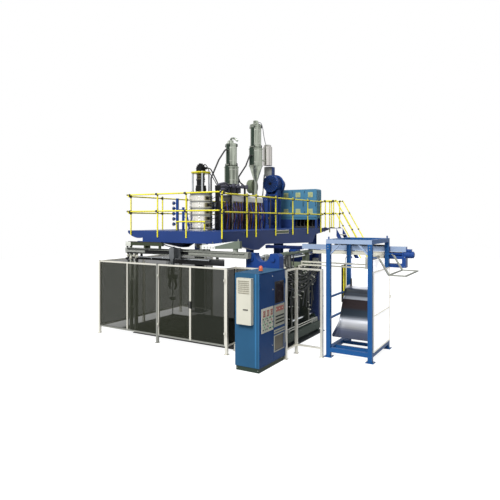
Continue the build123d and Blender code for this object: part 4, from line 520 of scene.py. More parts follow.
# Guard rails: black clamp fittings where rails meet posts, end caps, foot clips

railSizes = {"r": 21, "top": 3979, "middle": 3490, "front": 1654, "back": 9321, "left": -5355,
             "right": -2074, "overrun": 110, "sleeve": 29, "sleeveL": 74, "sleeveTop": 4002, "capR": 26}
railPosts = {
    "front": (-5355, -4310, -3270, -2074),
    "right": [1654, 2920] + [2199 + 1242 * step for step in range(1, 6)] + [9321],
    "left": [1654] + [1799 + 1253.7 * step for step in range(1, 6)] + [9321],
}
lowRail = {"posts": (-4139, -3121), "y": 2300, "clip": (3130, 3164, 28), "foot": (2924, 2950, 40)}


def addJoint(bm, x, y, z, along, side):
    # Sleeve on the rail and sleeve on the post behind it
    s = railSizes
    half = s["sleeveL"] / 2
    rail = Vector((x, y, z)) + Vector(side) * 2 * s["r"]
    run = Vector(along)
    addRod(bm, rail - run * half, rail + run * half, s["sleeve"], sides=12)
    addRod(bm, (x, y, z - half - 10), (x, y, min(z + half, s["sleeveTop"])), s["sleeve"], sides=12)


def railFittings():
    s, lower = railSizes, 2 * railSizes["r"]  # the side rails run one tube lower
    bm = bmesh.new()
    for z in (s["top"], s["middle"]):
        for x in railPosts["front"]:
            addJoint(bm, x, s["front"], z, (1, 0, 0), (0, -1, 0))
            addJoint(bm, x, s["back"], z, (1, 0, 0), (0, 1, 0))
        for y in railPosts["right"][:-1]:
            addJoint(bm, s["right"], y, z - lower, (0, 1, 0), (1, 0, 0))
        for y in railPosts["left"]:
            addJoint(bm, s["left"], y, z - lower, (0, 1, 0), (-1, 0, 0))
        for side, x in ((-1, s["left"] - s["overrun"]), (1, s["right"] + s["overrun"])):
            for y in (s["front"] - lower, s["back"] + lower):
                addRod(bm, (x - side * 34, y, z), (x + side * 6, y, z), s["capR"], sides=12)
    closePiece("rail_clamps", bm, blackPlastic)
    bm = bmesh.new()
    for x in lowRail["posts"]:
        for low, high, radius in (lowRail["clip"], lowRail["foot"]):
            addRod(bm, (x, lowRail["y"], low), (x, lowRail["y"], high), radius, sides=12)
    closePiece("low_rail_clamps", bm, oliveEnamel)


railFittings()


# Platform: bare name plate, girder stiffeners, anchor bolts of the columns

namePlate = {"x": -2094.5, "y": (4720, 5650), "z": (2792, 2908), "rim": 16, "proud": 4}
stiffeners = {"side": (2120, 2560, 3000, 4700, 5500, 6300, 7100), "sideX": (-158, -15.5),
              "sideZ": (2625, 2890), "front": (-4600, -4000, -3400, -2800), "frontY": (16, 120),
              "frontZ": (2622, 2880), "half": 5}
columnFeet = {"places": ((-5200, 4820), (-5200, 8300), (-2380, 5460), (-2380, 8300)), "pitch": 180,
              "plateTop": 25}


def platformPieces():
    p = namePlate
    front = p["x"] + p["proud"]
    makePiece("name_plate_rim", addBlock, [((p["x"], front), p["y"], p["z"], 1.5)],
              coverPowder)
    inner = [(low + p["rim"], high - p["rim"]) for low, high in (p["y"], p["z"])]
    makePiece("name_plate_field", addBlock, [((front - 1, front + 1.5), *inner)],
              oliveEnamel)
    bm = bmesh.new()
    s = stiffeners
    for y in s["side"]:
        addBlock(bm, [deck["right"] + x for x in s["sideX"]], around(y, s["half"]), s["sideZ"])
    for x in s["front"]:
        addBlock(bm, around(x, s["half"]), [deck["front"] + y for y in s["frontY"]], s["frontZ"])
    closePiece("girder_stiffeners", bm, platformEnamel)
    bm = bmesh.new()
    washer, top = columnFeet["plateTop"], columnFeet["plateTop"] + 6
    for x, y in columnFeet["places"]:
        for boltX in around(x, columnFeet["pitch"]):
            for boltY in around(y, columnFeet["pitch"]):
                addRod(bm, (boltX, boltY, washer), (boltX, boltY, top), 26, sides=16)
                addBolt(bm, (boltX, boltY, top), (0, 0, 1), 22, 20)
                addRod(bm, (boltX, boltY, top + 20), (boltX, boltY, top + 35), 11, sides=12)
    closePiece("column_anchor_nuts", bm, zincSteel)


platformPieces()
print("stage: platform and rails")


# Accumulator head: band rims, clamp lugs with bolts, terminal boxes, cable trunk, shot cylinder

headPieces = {"lugAngles": (-62, -118, 118), "lugHeights": (45, 130), "terminalAngle": -20,
              "trunk": (-3300, 3230), "trunkTop": 4290, "straps": (3200, 3500, 3800),
              "boltRows": ((300, 4085, 13, 14), (395, 2963, 15, 16)),
              "collars": ((4396, 118), (4520, 112), (4600, 112))}


def headBands():
    h, d = head, headPieces
    trunkX, trunkY = d["trunk"]
    rims, lugs, terminals, leads = bmesh.new(), bmesh.new(), bmesh.new(), bmesh.new()
    for band in range(h["bands"]):
        low = h["bandBottom"] + band * h["bandPitch"]
        for z in (low + 8, low + 152):
            addRing(rims, (h["x"], h["y"], z), (0, 0, 1), h["bandR"] + 3, 6, 15, 48)
        for angle in d["lugAngles"]:
            out = Vector((cos(radians(angle)), sin(radians(angle)), 0))
            across = Vector((-out.y, out.x, 0))
            for height in d["lugHeights"]:
                base = Vector((h["x"], h["y"], low + height)) + out * (h["bandR"] - 2)
                addRod(lugs, base - across * 26, base - across * 20 + out * 2, 15, sides=6)
                addRod(lugs, base - across * 30, base + across * 30, 7, sides=8)
                addRod(lugs, base + across * 16, base + across * 26, 15, sides=6)
        angle = radians(d["terminalAngle"] + 6 * (band % 2))
        out = Vector((cos(angle), sin(angle), 0))
        base = Vector((h["x"], h["y"], low + 95)) + out * h["bandR"]
        addRod(terminals, base - out * 3, base + out * 58, 44, 38, 4)
        start, end = base + out * 56, Vector((trunkX + 10, trunkY - 40, low + 190))
        addTube(leads, [start, start + out * 40, (start + end) / 2 + Vector((30, -40, -60)), end], 9, 6)
    closePiece("head_band_rims", rims, zincSteel)
    closePiece("head_band_lugs", lugs, zincSteel)
    closePiece("head_band_terminals", terminals, blackSteel)
    closePiece("head_band_leads", leads, blackRubber)
    straps = [(around(trunkX, 52), around(trunkY, 52), (z, z + 22), 2) for z in d["straps"]]
    makePiece("head_cable_trunk", addBlock, [
        (around(trunkX, 45), around(trunkY, 45), (deck["top"] + 1, d["trunkTop"]), 4),
        (around(trunkX, 70), around(trunkY, 60), (d["trunkTop"] - 140, d["trunkTop"]), 6)] + straps,
        darkEnamel)


def headTop():
    h = head
    bm = bmesh.new()
    for turn in range(12):
        angle = radians(15 + 30 * turn)
        for reach, z, radius, height in headPieces["boltRows"]:
            x, y = h["x"] + reach * cos(angle), h["y"] + reach * sin(angle)
            addBolt(bm, (x, y, z), (0, 0, 1), radius, height)
    for turn in range(4):
        angle = radians(45 + 90 * turn)
        x, y = h["x"] + 250 * cos(angle), h["y"] + 250 * sin(angle)
        addBolt(bm, (x, y, 4686), (0, 0, 1), 30, 30)
        addRing(bm, (x, y, 4085), (0, 0, 1), 36, 16, 26, 24)
    closePiece("head_bolts", bm, zincSteel)
    bm = bmesh.new()
    for z, radius in headPieces["collars"]:
        addRing(bm, (h["x"], h["y"], z), (0, 0, 1), radius, 14, 26, 32)
    for x in around(h["x"], 128):
        addRod(bm, (x, h["y"] - 20, 4300), (x, h["y"] - 20, 4640), 16)
        addBlock(bm, around(x, 22), (2960, 3010), (4440, 4500), 3)
    closePiece("shot_cylinder_fittings", bm, darkEnamel)
    # The sleeve takes the bands' painted highlight and shade
    makePiece("shot_cylinder_sleeve", addRing, [((h["x"], h["y"], 4470), (0, 0, 1), 108, 5, 215, 32)],
              bandHighlightAndShade)
    makePiece("piston_gland", addRing, [((h["x"], h["y"], 4086), (0, 0, 1), 128, 60, 200, 32),
                                        ((h["x"], h["y"], 4140), (0, 0, 1), 132, 70, 60, 32)],
              darkEnamel)


servo = {"z": 4870, "portZ": 4800, "ports": (-60, 0, 60), "leadR": 13}


def servoValve():
    x, y, z = head["x"], head["y"], servo["z"]
    bm = bmesh.new()
    addBlock(bm, around(x, 70), around(y, 95), (z, z + 55), 4)
    for port in servo["ports"]:
        addRod(bm, (x - 96, y + port, servo["portZ"]), (x - 130, y + port, servo["portZ"]), 24)
    addRod(bm, (x, y + 60, z + 55), (x, y + 60, z + 95), 26)
    addTube(bm, [(x + 60, y + 40, z + 40), (x + 130, y + 40, z + 60), (x + 210, y + 60, z - 40),
                 (x + 260, y + 100, z - 210), (x + 340, y + 180, 4500), (x + 450, y + 230, 4285)],
            servo["leadR"])
    closePiece("servo_valve", bm, darkEnamel)


headBands()
headTop()
servoValve()
print("stage: head")


# Extruder: leads under the cover, hose bundle and boxes at the side loader's tray, gearbox fittings

barrelLeads = {"count": 78, "y": (4050, 6500), "x": -3535, "seed": 7, "r": (9, 15), "backRow": 95,
               "bulge": (20, 110)}
cableWall = {"x": (-4022, -4016), "y": (4080, 6545), "top": 3850, "ribs": range(4200, 6500, 240)}
trayBundle = {"hoses": ((4240, 4300, 40), (4180, 4350, 34), (4190, 4250, 30), (4250, 4385, 26)),
              "boxes": (4250, 4520, 4790, 5060)}


def barrelCables():
    c = barrelLeads
    chance = Random(c["seed"])
    looks = (("barrel_leads_brown", brownPlastic), ("barrel_leads_black", blackRubber),
             ("barrel_leads_blue", bluePlastic))
    bms = (bmesh.new(), bmesh.new(), bmesh.new())
    for number in range(c["count"]):
        y = c["y"][0] + (c["y"][1] - c["y"][0]) * number / c["count"] + chance.uniform(-25, 25)
        drift = chance.uniform(-70, 70)
        bulge = chance.uniform(*c["bulge"])
        x = c["x"] - c["backRow"] * (number % 2)
        points = [(x - 20, y, 3850 - c["backRow"] * (number % 2)), (x + 8, y + drift * 0.2, 3700),
                  (x + bulge, y + drift * 0.7, 3380), (x + 30, y + drift, 3060),
                  (x + 20, y + drift, deck["top"] + 2)]
        addTube(bms[number % 3], points, chance.uniform(*c["r"]), 7, 60)
    for (name, material), bm in zip(looks, bms):
        closePiece(name, bm, material)
    w = cableWall
    z = (deck["top"] + 1, w["top"])
    makePiece("cable_wall", addBlock, [(w["x"], w["y"], z, 1)]
              + [((w["x"][1], w["x"][1] + 26), (y, y + 12), z, 1) for y in w["ribs"]],
              darkEnamel)


def trayDetails():
    bm = bmesh.new()
    for y, z, radius in trayBundle["hoses"]:
        addTube(bm, [(-3330, y - 900, z - 40), (-3400, y - 500, z + 20), (-3560, y - 100, z),
                     (-3700, y, z - 5), (-3900, y + 10, z)], radius, 10, 18, 0.12)
    closePiece("hose_bundle", bm, greyRubber)
    makePiece("tray_boxes", addBlock, [((-3448, -3400), (y, y + 120), (4290, 4420), 5)
                                       for y in trayBundle["boxes"]]
              + [((-3449, -3430), (4205, 5110), (4330, 4370), 3)], greyRubber)


gearboxFace = {"x": -3400, "boltYs": (6620, 6800, 6980, 7160, 7340, 7440), "glasses": (6640, 7430),
               "boltXs": (-4020, -3900, -3640, -3520, -3450), "boltZs": (3100, 3500, 3980),
               "ribs": (6680, 6860, 7040, 7220, 7400)}


def gearboxDetails():
    g = gearboxFace
    bm = bmesh.new()
    for y in g["boltYs"]:
        addBolt(bm, (g["x"] + 0.5, y, 3500), (1, 0, 0), 16, 14)
    for x in g["boltXs"]:
        for z in g["boltZs"]:
            addBolt(bm, (x, 6560, z), (0, -1, 0), 15, 12)
    closePiece("gearbox_bolts", bm, zincSteel)
    makePiece("gearbox_ribs", addBlock, [
        ((g["x"], g["x"] + 14), (6590, 7470), (3480, 3520), 3),
        ((g["x"], g["x"] + 28), (6700, 7350), (3120, 3400), 8)]
        + [((g["x"], g["x"] + 40), around(y, 8), (3530, 3900), 3) for y in g["ribs"]],
        platformEnamel)
    bm = bmesh.new()
    for y in g["glasses"]:
        addRod(bm, (g["x"], y, 3300), (g["x"] + 20, y, 3300), 34)
        addRing(bm, (g["x"] + 19, y, 3300), (1, 0, 0), 30, 8, 5, 24)
    closePiece("oil_sight_glasses", bm, brassSteel)
    makePiece("gearbox_oil_hoses", addTube, [
        ([(-3480, 6640, 4000), (-3340, 6620, 4060), (-3300, 6600, 3800), (-3330, 6580, 3300),
          (-3330, 6570, 2925)], 22, 10),
        ([(-3500, 6660, 4080), (-3420, 6640, 4160), (-3280, 6560, 4000), (-3250, 6500, 3400),
          (-3260, 6480, 2925)], 18, 10)], blackRubber)


barrelCables()
trayDetails()
gearboxDetails()
print("stage: extruder")


# Drive motor: fan grille, rims, terminal box lid, screws, leads

motor = {"x": -3470, "z": 4590, "y": (6880, 7330), "grille": range(60, 290, 32), "bars": 8,
         "lidX": (-318, -2), "lidZ": (4900, 5236)}


def motorDetails():
    m = motor
    x, z, face = m["x"], m["z"], m["y"][0]
    bm = bmesh.new()
    for radius in m["grille"]:
        addRing(bm, (x, face + 1, z), (0, -1, 0), radius, 9, 9, 40)
    for turn in range(m["bars"]):
        angle = pi * turn / m["bars"]
        reach = Vector((cos(angle), 0, sin(angle))) * 285
        middle = Vector((x, face - 5, z))
        addRod(bm, middle - reach, middle + reach, 5, sides=6)
    addRod(bm, (x, face, z), (x, face - 14, z), 48, 40, 24)
    closePiece("motor_fan_grille", bm, darkEnamel)
    makePiece("motor_rims", addRing, [((x, face + 6, z), (0, 1, 0), 312, 8, 40, 48),
                                      ((x, m["y"][1] - 44, z), (0, 1, 0), 352, 7, 38, 48)],
              motorEnamel)
    makePiece("terminal_box_lid", addBlock, [
        ((x + m["lidX"][0], x + m["lidX"][1]), (6993, 7004), m["lidZ"], 3),
        ((x - 300, x - 20), (6988, 6994), (4950, 5215), 2)], greyEnamel)
    bm = bmesh.new()
    for boltX in (x - 300, x - 20):
        for boltZ in (4925, 5222):
            addBolt(bm, (boltX, 6993, boltZ), (0, -1, 0), 9, 8)
    for turn in range(8):
        angle = radians(22.5 + 45 * turn)
        addBolt(bm, (x + 296 * cos(angle), face, z + 296 * sin(angle)), (0, -1, 0), 9, 8)
    closePiece("motor_screws", bm, zincSteel)
    makePiece("motor_leads", addTube, [
        ([(x - 310, 7120, 5000), (x - 380, 7110, 4960), (x - 400, 7080, 4600), (x - 370, 6990, 4250),
          (x - 340, 6900, 4110)], 17, 10),
        ([(x - 310, 7190, 5000), (x - 400, 7180, 4930), (x - 430, 7150, 4560), (x - 400, 7020, 4230),
          (x - 380, 6930, 4110)], 15, 10)], blackRubber)


motorDetails()


# Loaders: dark side boxes as painted shade, seams, latches, elbow, air tube, filter head, blower rings,
# feed sleeve

loaders = {"x": -3770, "sideY": 4700, "tallY": 6330, "filter": (-3593, 6900),
           "filterSeams": (5400, 5640, 5880), "seamTurns": (-100, -20, 60),
           "latchTurns": (-75, 15, 105, 195)}
blower = {"place": (-3898, 6480, 4480), "boltR": 225, "bolts": 6}
boxAcross, boxFront = Vector((0.837, 0.547)), Vector((0.547, -0.837))  # level axes of the side boxes


def loaderDrums():
    x, side, tall = loaders["x"], loaders["sideY"], loaders["tallY"]
    # Dark olive prisms at the left of the loaders: painted shade of their left flanks, with a dark box
    # low on the side loader
    bm = bmesh.new()
    for y, low, high, reach, z in (
            (side, -205, -75, 232, (4420, 5040)), (side, -165, -70, 190, (5110, 5760)),
            (tall, -235, -85, 246, (5240, 5850)), (tall, -175, -80, 206, (5930, 6590))):
        outline = ((low, reach - 180), (low, reach), (high, reach), (high, reach - 180))
        addPrism(bm, [Vector((x, y)) + boxAcross * s + boxFront * t for s, t in outline], z)
    closePiece("loader_shade_boxes", bm, plinthEnamel)
    bm = bmesh.new()
    for y, radius, levels in ((side, 187, (5200, 5640)), (tall, 202, (6010, 6500)),
                              (side, 237, (4560, 4900)), (tall, 247, (5330, 5730))):
        for z in levels:
            addRing(bm, (x, y, z), (0, 0, 1), radius, 6, 14, 40)
        for angle in loaders["seamTurns"]:
            out = Vector((cos(radians(angle)), sin(radians(angle)), 0))
            base = Vector((x, y, 0)) + out * radius
            addRod(bm, base + Vector((0, 0, levels[0])), base + Vector((0, 0, levels[1])), 7, sides=8)
    for z in loaders["filterSeams"]:
        addRing(bm, (*loaders["filter"], z), (0, 0, 1), 177, 6, 14, 40)
    closePiece("loader_seams", bm, zincSteel)
    bm = bmesh.new()
    for y, radius, z in ((side, 203, 5090), (tall, 218, 5910), (side, 203, 5740), (tall, 218, 6630)):
        for angle in loaders["latchTurns"]:
            out = Vector((cos(radians(angle)), sin(radians(angle)), 0))
            base = Vector((x, y, z)) + out * radius
            addBlock(bm, around(base.x, 14), around(base.y, 14), (z - 50, z + 46), 4)
    closePiece("loader_latches", bm, blackSteel)


def loaderTops():
    x, side, tall = loaders["x"], loaders["sideY"], loaders["tallY"]
    filterX, filterY = loaders["filter"]
    bm = bmesh.new()
    addTube(bm, [(x - 30, side + 20, 5900), (x - 30, side + 20, 5955), (x + 40, side + 20, 5985),
                 (x + 150, side + 20, 5950), (x + 230, side + 20, 5880)], 34, 12, 20)
    addRod(bm, (x - 60, side - 60, 5800), (x - 60, side - 60, 5880), 50, 46)
    closePiece("side_loader_elbow", bm, brushedStainless)
    makePiece("filter_air_tube", addTube, [
        ([(x + 70, tall + 40, 6730), (x + 90, tall + 60, 6800), (x + 160, tall + 110, 6780),
          (x + 200, tall + 160, 6600), (x + 190, tall + 260, 6350), (x + 170, tall + 420, 6080),
          (x + 177, tall + 520, 6010)], 12, 8)], greyRubber)
    bm = bmesh.new()
    addRing(bm, (filterX, filterY, 6018), (0, 0, 1), 110, 14, 20, 32)
    addRod(bm, (filterX - 47, filterY - 40, 6018), (filterX - 47, filterY - 40, 6052), 30, 24)
    addBlock(bm, (filterX + 33, filterX + 93), (filterY - 20, filterY + 60), (6018, 6048), 4)
    closePiece("filter_head", bm, brushedStainless)


def blowerCover():
    x, y, z = blower["place"]
    bm = bmesh.new()
    addRing(bm, (x, y, z), (1, 0, 0), 180, 10, 8, 40)
    addRing(bm, (x, y, z), (1, 0, 0), 90, 10, 10, 32)
    for turn in range(blower["bolts"]):
        angle = 2 * pi * turn / blower["bolts"]
        side, up = blower["boltR"] * cos(angle), blower["boltR"] * sin(angle)
        addBolt(bm, (x - 2, y + side, z + up), (1, 0, 0), 11, 10)
    closePiece("blower_cover_rings", bm, oliveEnamel)


def feedSleeve():
    # Pleated sleeve and slide gate between the tray and the feed opening of the barrel
    x, y = loaders["x"], loaders["sideY"]
    bm = bmesh.new()
    addRod(bm, (x, y, 4319), (x, y, 4069), 165, 135, 32)
    for ring in range(6):
        addRing(bm, (x, y, 4100 + ring * 36), (0, 0, 1), 141 + ring * 4, 10, 12, 32)
    addBlock(bm, (x - 60, x + 250), around(y, 120), (4069, 4096), 4)
    addBlock(bm, around(x, 150), (y - 420, y - 250), (4150, 4319), 6)
    addBlock(bm, around(x, 130), (y + 170, y + 395), (4150, 4319), 6)
    addRod(bm, (x, y + 150, 4110), (x, y + 405, 4110), 42, sides=20)
    closePiece("feed_sleeve", bm, greyRubber)


loaderDrums()
loaderTops()
blowerCover()
feedSleeve()
print("stage: motor and loaders")


# Switch cabinet: door handles, hinges, cables; cooling manifold: hand wheels and hoses

switchDoors = {"x": -3700, "pitch": 520, "count": 3, "handleZ": (3760, 3960), "hingeZ": (3480, 4280)}
switchCables = {"x": -3050, "pitch": 170, "count": 5}
manifold = {"x": -4470, "y": 2560, "valves": (3110, 3270, 3430, 3590, 3750), "wheelR": 52,
            "hoses": (3150, 3310, 3470)}


def switchCabinetDetails():
    d, face = switchDoors, switchLow.y + 20
    bm = bmesh.new()
    for door in range(d["count"]):  # each door has one handle and two hinges
        x = d["x"] + d["pitch"] * door
        addBlock(bm, (x + 470, x + 486), (face - 24, face), d["handleZ"], 4)
        for z in d["hingeZ"]:
            addRod(bm, (x + 20, face - 8, z), (x + 20, face - 8, z + 90), 9)
    closePiece("switch_cabinet_handles", bm, blackPlastic)
    bm = bmesh.new()
    addBlock(bm, (-3160, -2160), (8210, 8590), (2925, 2990), 6)
    for number in range(switchCables["count"]):
        x = switchCables["x"] + switchCables["pitch"] * number
        addTube(bm, [(x, 8300, 3322), (x + 10, 8290, 3200), (x - 30, 8330, 3080), (x, 8340, 2985)],
                22, 8)
    closePiece("switch_cabinet_cables", bm, blackRubber)
    # A dark sheet under the right of the switch cabinet: painted shade of the space beneath it
    makePiece("switch_cabinet_shade_sheet", addBlock,
              [((-3178, -2142), (8560, 8565), (deck["top"] + 1, 3319), 1)], darkEnamel)


def manifoldDetails():
    x, y, r = manifold["x"], manifold["y"], manifold["wheelR"]
    bm = bmesh.new()
    for z in manifold["valves"]:
        addRing(bm, (x, y, z), (-1, 0, 0), r, 12, 14, 24)
        addRod(bm, (x - 14, y, z), (x + 2, y, z), 12)
        addRod(bm, (x, y - r - 8, z), (x, y + r + 8, z), 6, sides=8)
        addRod(bm, (x, y, z - r - 4), (x, y, z + r + 4), 6, sides=8)
    closePiece("manifold_hand_wheels", bm, blackPlastic)
    makePiece("manifold_hoses", addTube, [
        ([(-4060, y, z), (-3990, y + 10, z + 10), (-3960 - 20 * number, y + 60, z - 90),
          (-4000, y + 140 + 40 * number, deck["top"] + 2)], 15, 8)
        for number, z in enumerate(manifold["hoses"])], bluePlastic)


switchCabinetDetails()
manifoldDetails()


# Control cabinet: cooler louvres, buttons, meter rims, locks, screen surround, stile, plinth screws

cooler = {"x": (-500, -140), "y": -110, "z": (1020, 2000), "slats": 7, "pitch": 42}
buttons = {"rows": (1115, 1000, 885), "columns": (150, 235, 315, 435, 480, 575),
           "pushYs": (190, 355, 520), "clear": 30}
screen = {"y": (690, 1130), "z": (1378, 1852), "bar": 16}
lampYs = (760, 900, 1040)  # under the screen


def coolerLouvres():
    c = cooler
    bm = bmesh.new()
    for slat in range(c["slats"]):
        z = c["z"][1] - 330 + slat * c["pitch"]
        addBlock(bm, (c["x"][0] + 42, c["x"][1] - 42), (c["y"] - 5, c["y"] + 2), (z + 16, z + 26), 1)
    addBlock(bm, (c["x"][0] - 3, c["x"][1] + 3), (c["y"] + 70, c["y"] + 78),
             (c["z"][0] - 3, c["z"][1] + 3))
    closePiece("cooler_louvres", bm, shadePowder)


def panelButtons():
    b = buttons
    greens, blacks, steels, rims = bmesh.new(), bmesh.new(), bmesh.new(), bmesh.new()
    for row, z in enumerate(b["rows"]):
        for column, y in enumerate(b["columns"]):
            if all(abs(y - push) > b["clear"] for push in b["pushYs"]):
                addRod(greens if (row + column) % 2 else blacks, (7.5, y, z), (20, y, z), 15, 14, 16)
    for y in b["pushYs"]:
        addRing(steels, (8, y, 1060), (1, 0, 0), 18.5, 3, 3, 24)
        addRing(rims, (14, y, 1225), (1, 0, 0), 34, 8, 5, 24)
    for y in b["pushYs"][:2]:
        addRing(steels, (8, y, 940), (1, 0, 0), 18.5, 3, 3, 24)
    closePiece("panel_buttons_green", greens, greenPlastic, "near_door")
    closePiece("panel_buttons_black", blacks, blackPlastic, "near_door")
    closePiece("panel_button_rings", steels, zincSteel, "near_door")
    closePiece("panel_meter_rims", rims, panelGrey, "near_door")


def cabinetTrim():
    makePiece("near_door_locks", addRod, [
        ((14, 560, 2000), (20, 560, 2000), 11, 9, 12), ((14, 560, 480), (20, 560, 480), 11, 9, 12),
        ((-1, 600, 1700), (10, 600, 1700), 15)], zincSteel, "near_door")
    (left, right), (low, high), bar = screen["y"], screen["z"], screen["bar"]
    makePiece("screen_surround", addBlock, [
        ((-1, 7), (left, left + bar), (low, high), 2), ((-1, 7), (right - bar, right), (low, high), 2),
        ((-1, 7), (left, right), (low - 8, low), 2), ((-1, 7), (left, right), (high, high + 8), 2)],
        blackPlastic, "far_door")
    makePiece("display_lamps", addRod, [((13, y, 1240), (20, y, 1240), 15, 13, 20) for y in lampYs],
              creamPowder, "far_door")
    makePiece("plinth_screws", addBolt, [((x, 14.5, 50), (0, -1, 0), 10, 6) for x in (-560, -40)],
              zincSteel)
    makePiece("cabinet_front_stile", addBlock, [
        ((-104, -72), (-3.5, 1), (112, 2092), 1.5), ((-12, 0.2), (-5.5, 1), (112, 2092), 1.5),
        ((-599, -590), (-4.5, 1), (112, 2092), 1.5)], stilePowder)


coolerLouvres()
panelButtons()
cabinetTrim()
print("stage: cabinets")


# Gantry: slide pads, cables, lower rod, apron, end piece, valves and gauges on the legs

gantry = {"face": 1439.5, "bolts": [*range(-2960, -1200, 220), *range(-5280, -4650, 150)],
          "pads": (-2480, -2380, -2280, -2200), "brackets": (-5000, -4400, -3700, -3100),
          "rodY": 1415, "rodZ": 2180, "rodClips": (-4780, -3900, -3000, -2320),
          "valves": ((-5330, 2110), (-5250, 2040), (-5060, 2160), (-4960, 2080)),
          "gauges": ((-5290, 2200), (-5160, 2130), (-5020, 2205), (-4900, 2190))}


def gantryDetails():
    g, y, z = gantry, gantry["rodY"], gantry["rodZ"]
    bm = bmesh.new()
    for x in g["pads"]:
        addRod(bm, (x, 1429, 2520), (x, 1420, 2520), 20, sides=16)
    for x in g["bolts"]:
        addBolt(bm, (x, g["face"], 2345), (0, -1, 0), 12, 8)
    closePiece("gantry_bolts", bm, zincSteel)
    bm = bmesh.new()
    for row in (1490, 1512, 1534):
        addTube(bm, [(-3960, row, 2560), (-3800, row, 2510), (-3300, row + 5, 2440), (-2900, row, 2438),
                     (-2560, row + 4, 2445)], 9, 7)
    addTube(bm, [(-5316, 1520, 2560), (-5350, 1520, 2500), (-5340, 1530, 2300), (-5260, 1510, 2090),
                 (-5190, 1500, 2070)], 20, 8)
    addTube(bm, [(-5316, 1490, 2550), (-5365, 1500, 2480), (-5350, 1505, 2250), (-5300, 1480, 2140),
                 (-5260, 1480, 2070)], 14, 8)
    closePiece("gantry_cables", bm, blackRubber)
    bm = bmesh.new()
    for x in g["brackets"]:
        addBlock(bm, (x, x + 26), (1478, 1562), (2110, 2164), 2)
    addRod(bm, (-4800, y, z), (-3000, y, z), 13)
    addRod(bm, (-2950, y, z), (-2300, y, z), 24)
    for x in g["rodClips"]:
        addBlock(bm, around(x, 14), (1400, 1486), around(z, 30), 2)
    closePiece("gantry_lower_rod", bm, hardChrome)
    makePiece("guide_apron", addBlock, [((-3690, -1880), (1478, 1489), (2040, 2205), 2)],
              blackPlastic)
    makePiece("guide_pale_strip", addBlock, [((-3640, -1880), (1470, 1489), (2210, 2226), 2)],
              beamEnamel)
    makePiece("gantry_end_piece", addBlock, [
        ((-5368, -5170), (1452, 1459), (2470, 2600), 2), ((-5368, -5170), (1531, 1538), (2470, 2600), 2),
        ((-5368, -5361), (1452, 1538), (2470, 2600), 2)], paleGrey)
    bm = bmesh.new()
    for start, end in (((-5105, 1550, 2250), (-4960, 1550, 2080)),
                       ((-5105, 1470, 2250), (-4970, 1470, 2060)),
                       ((-5300, 1500, 2200), (-5360, 1500, 2060))):
        addRod(bm, start, end, 14, sides=8)
    for x, z in g["valves"]:
        addBlock(bm, around(x, 35), (1442, 1500), around(z, 30), 5)
    closePiece("gantry_leg_valves", bm, blackPlastic)
    bm = bmesh.new()
    for x, z in g["gauges"]:
        addRod(bm, (x, 1440, z), (x, 1420, z), 22, sides=12)
        addBlock(bm, around(x, 28), (1440, 1470), around(z, 40), 4)
    closePiece("gantry_leg_gauges", bm, creamPowder)


gripper = {"x": -3345, "y": 1180, "cylinderX": -106, "plateY": (-75, -61)}


def gripperDetails():
    g, x, y = gripper, gripper["x"], gripper["y"]
    side = x + g["cylinderX"]
    bm = bmesh.new()
    addRod(bm, (side, y - 30, 1800), (side, y - 30, 2140), 20)
    addRod(bm, (side, y - 30, 1700), (side, y - 30, 1800), 8)
    addBlock(bm, around(x, 115), (y + g["plateY"][0], y + g["plateY"][1]), (1690, 1760), 4)
    for pinX in around(x, 80):
        addRod(bm, (pinX, y - 66, 1725), (pinX, y - 84, 1725), 16)
    addBlock(bm, around(x, 62), around(y, 50), (1100, 1180), 6)
    addRod(bm, (x, y, 640), (x, y, 730), 34, 20, 20)
    closePiece("gripper_cylinder", bm, oiledSteel, "gripper_body")
    makePiece("gripper_tube", addTube, [
        ([(side, y - 30, 2135), (side - 6, y - 50, 2185), (x - 150, y - 60, 2100),
          (x - 152, y - 50, 1900), (x - 100, y - 62, 1775)], 8, 7)],
        blackRubber, "gripper_body")
    makePiece("carriage_bolts", addBolt, [((boltX, 1275, z), (0, -1, 0), 12, 9)
                                          for boltX in around(x, 150) for z in (2240, 2450)],
              zincSteel, "gantry_slide")


gantryDetails()
gripperDetails()


# Clamp: tie nuts, valve blocks, oil hoses, pipes, hose channel, ferrules, drop hoses, cylinder rings

clampMiddle = (clampLow.x + clampHigh.x) / 2
clampEnds = {"tieX": 310, "tieZ": (2260, 560), "front": (1659.5, 1622), "rear": (4340.5, 4378),
             "boltZ": (700, 1000, 1900)}
clampValves = {"lowYs": (1900, 2050, 2200, 3700, 3850, 4000), "highYs": (1888, 4020), "perBlock": 4,
               "pitch": 85}
clampHoses = {"count": 9, "low": 1500, "pitch": 70, "sag": (120, 420), "r": (10, 17), "seed": 3}
hoseChannel = {"x": (326, 400), "y": (1884, 4116), "z": (2334, 2396), "ribs": range(2000, 4100, 300),
               "ferrules": 44, "drops": 12, "seed": 11}


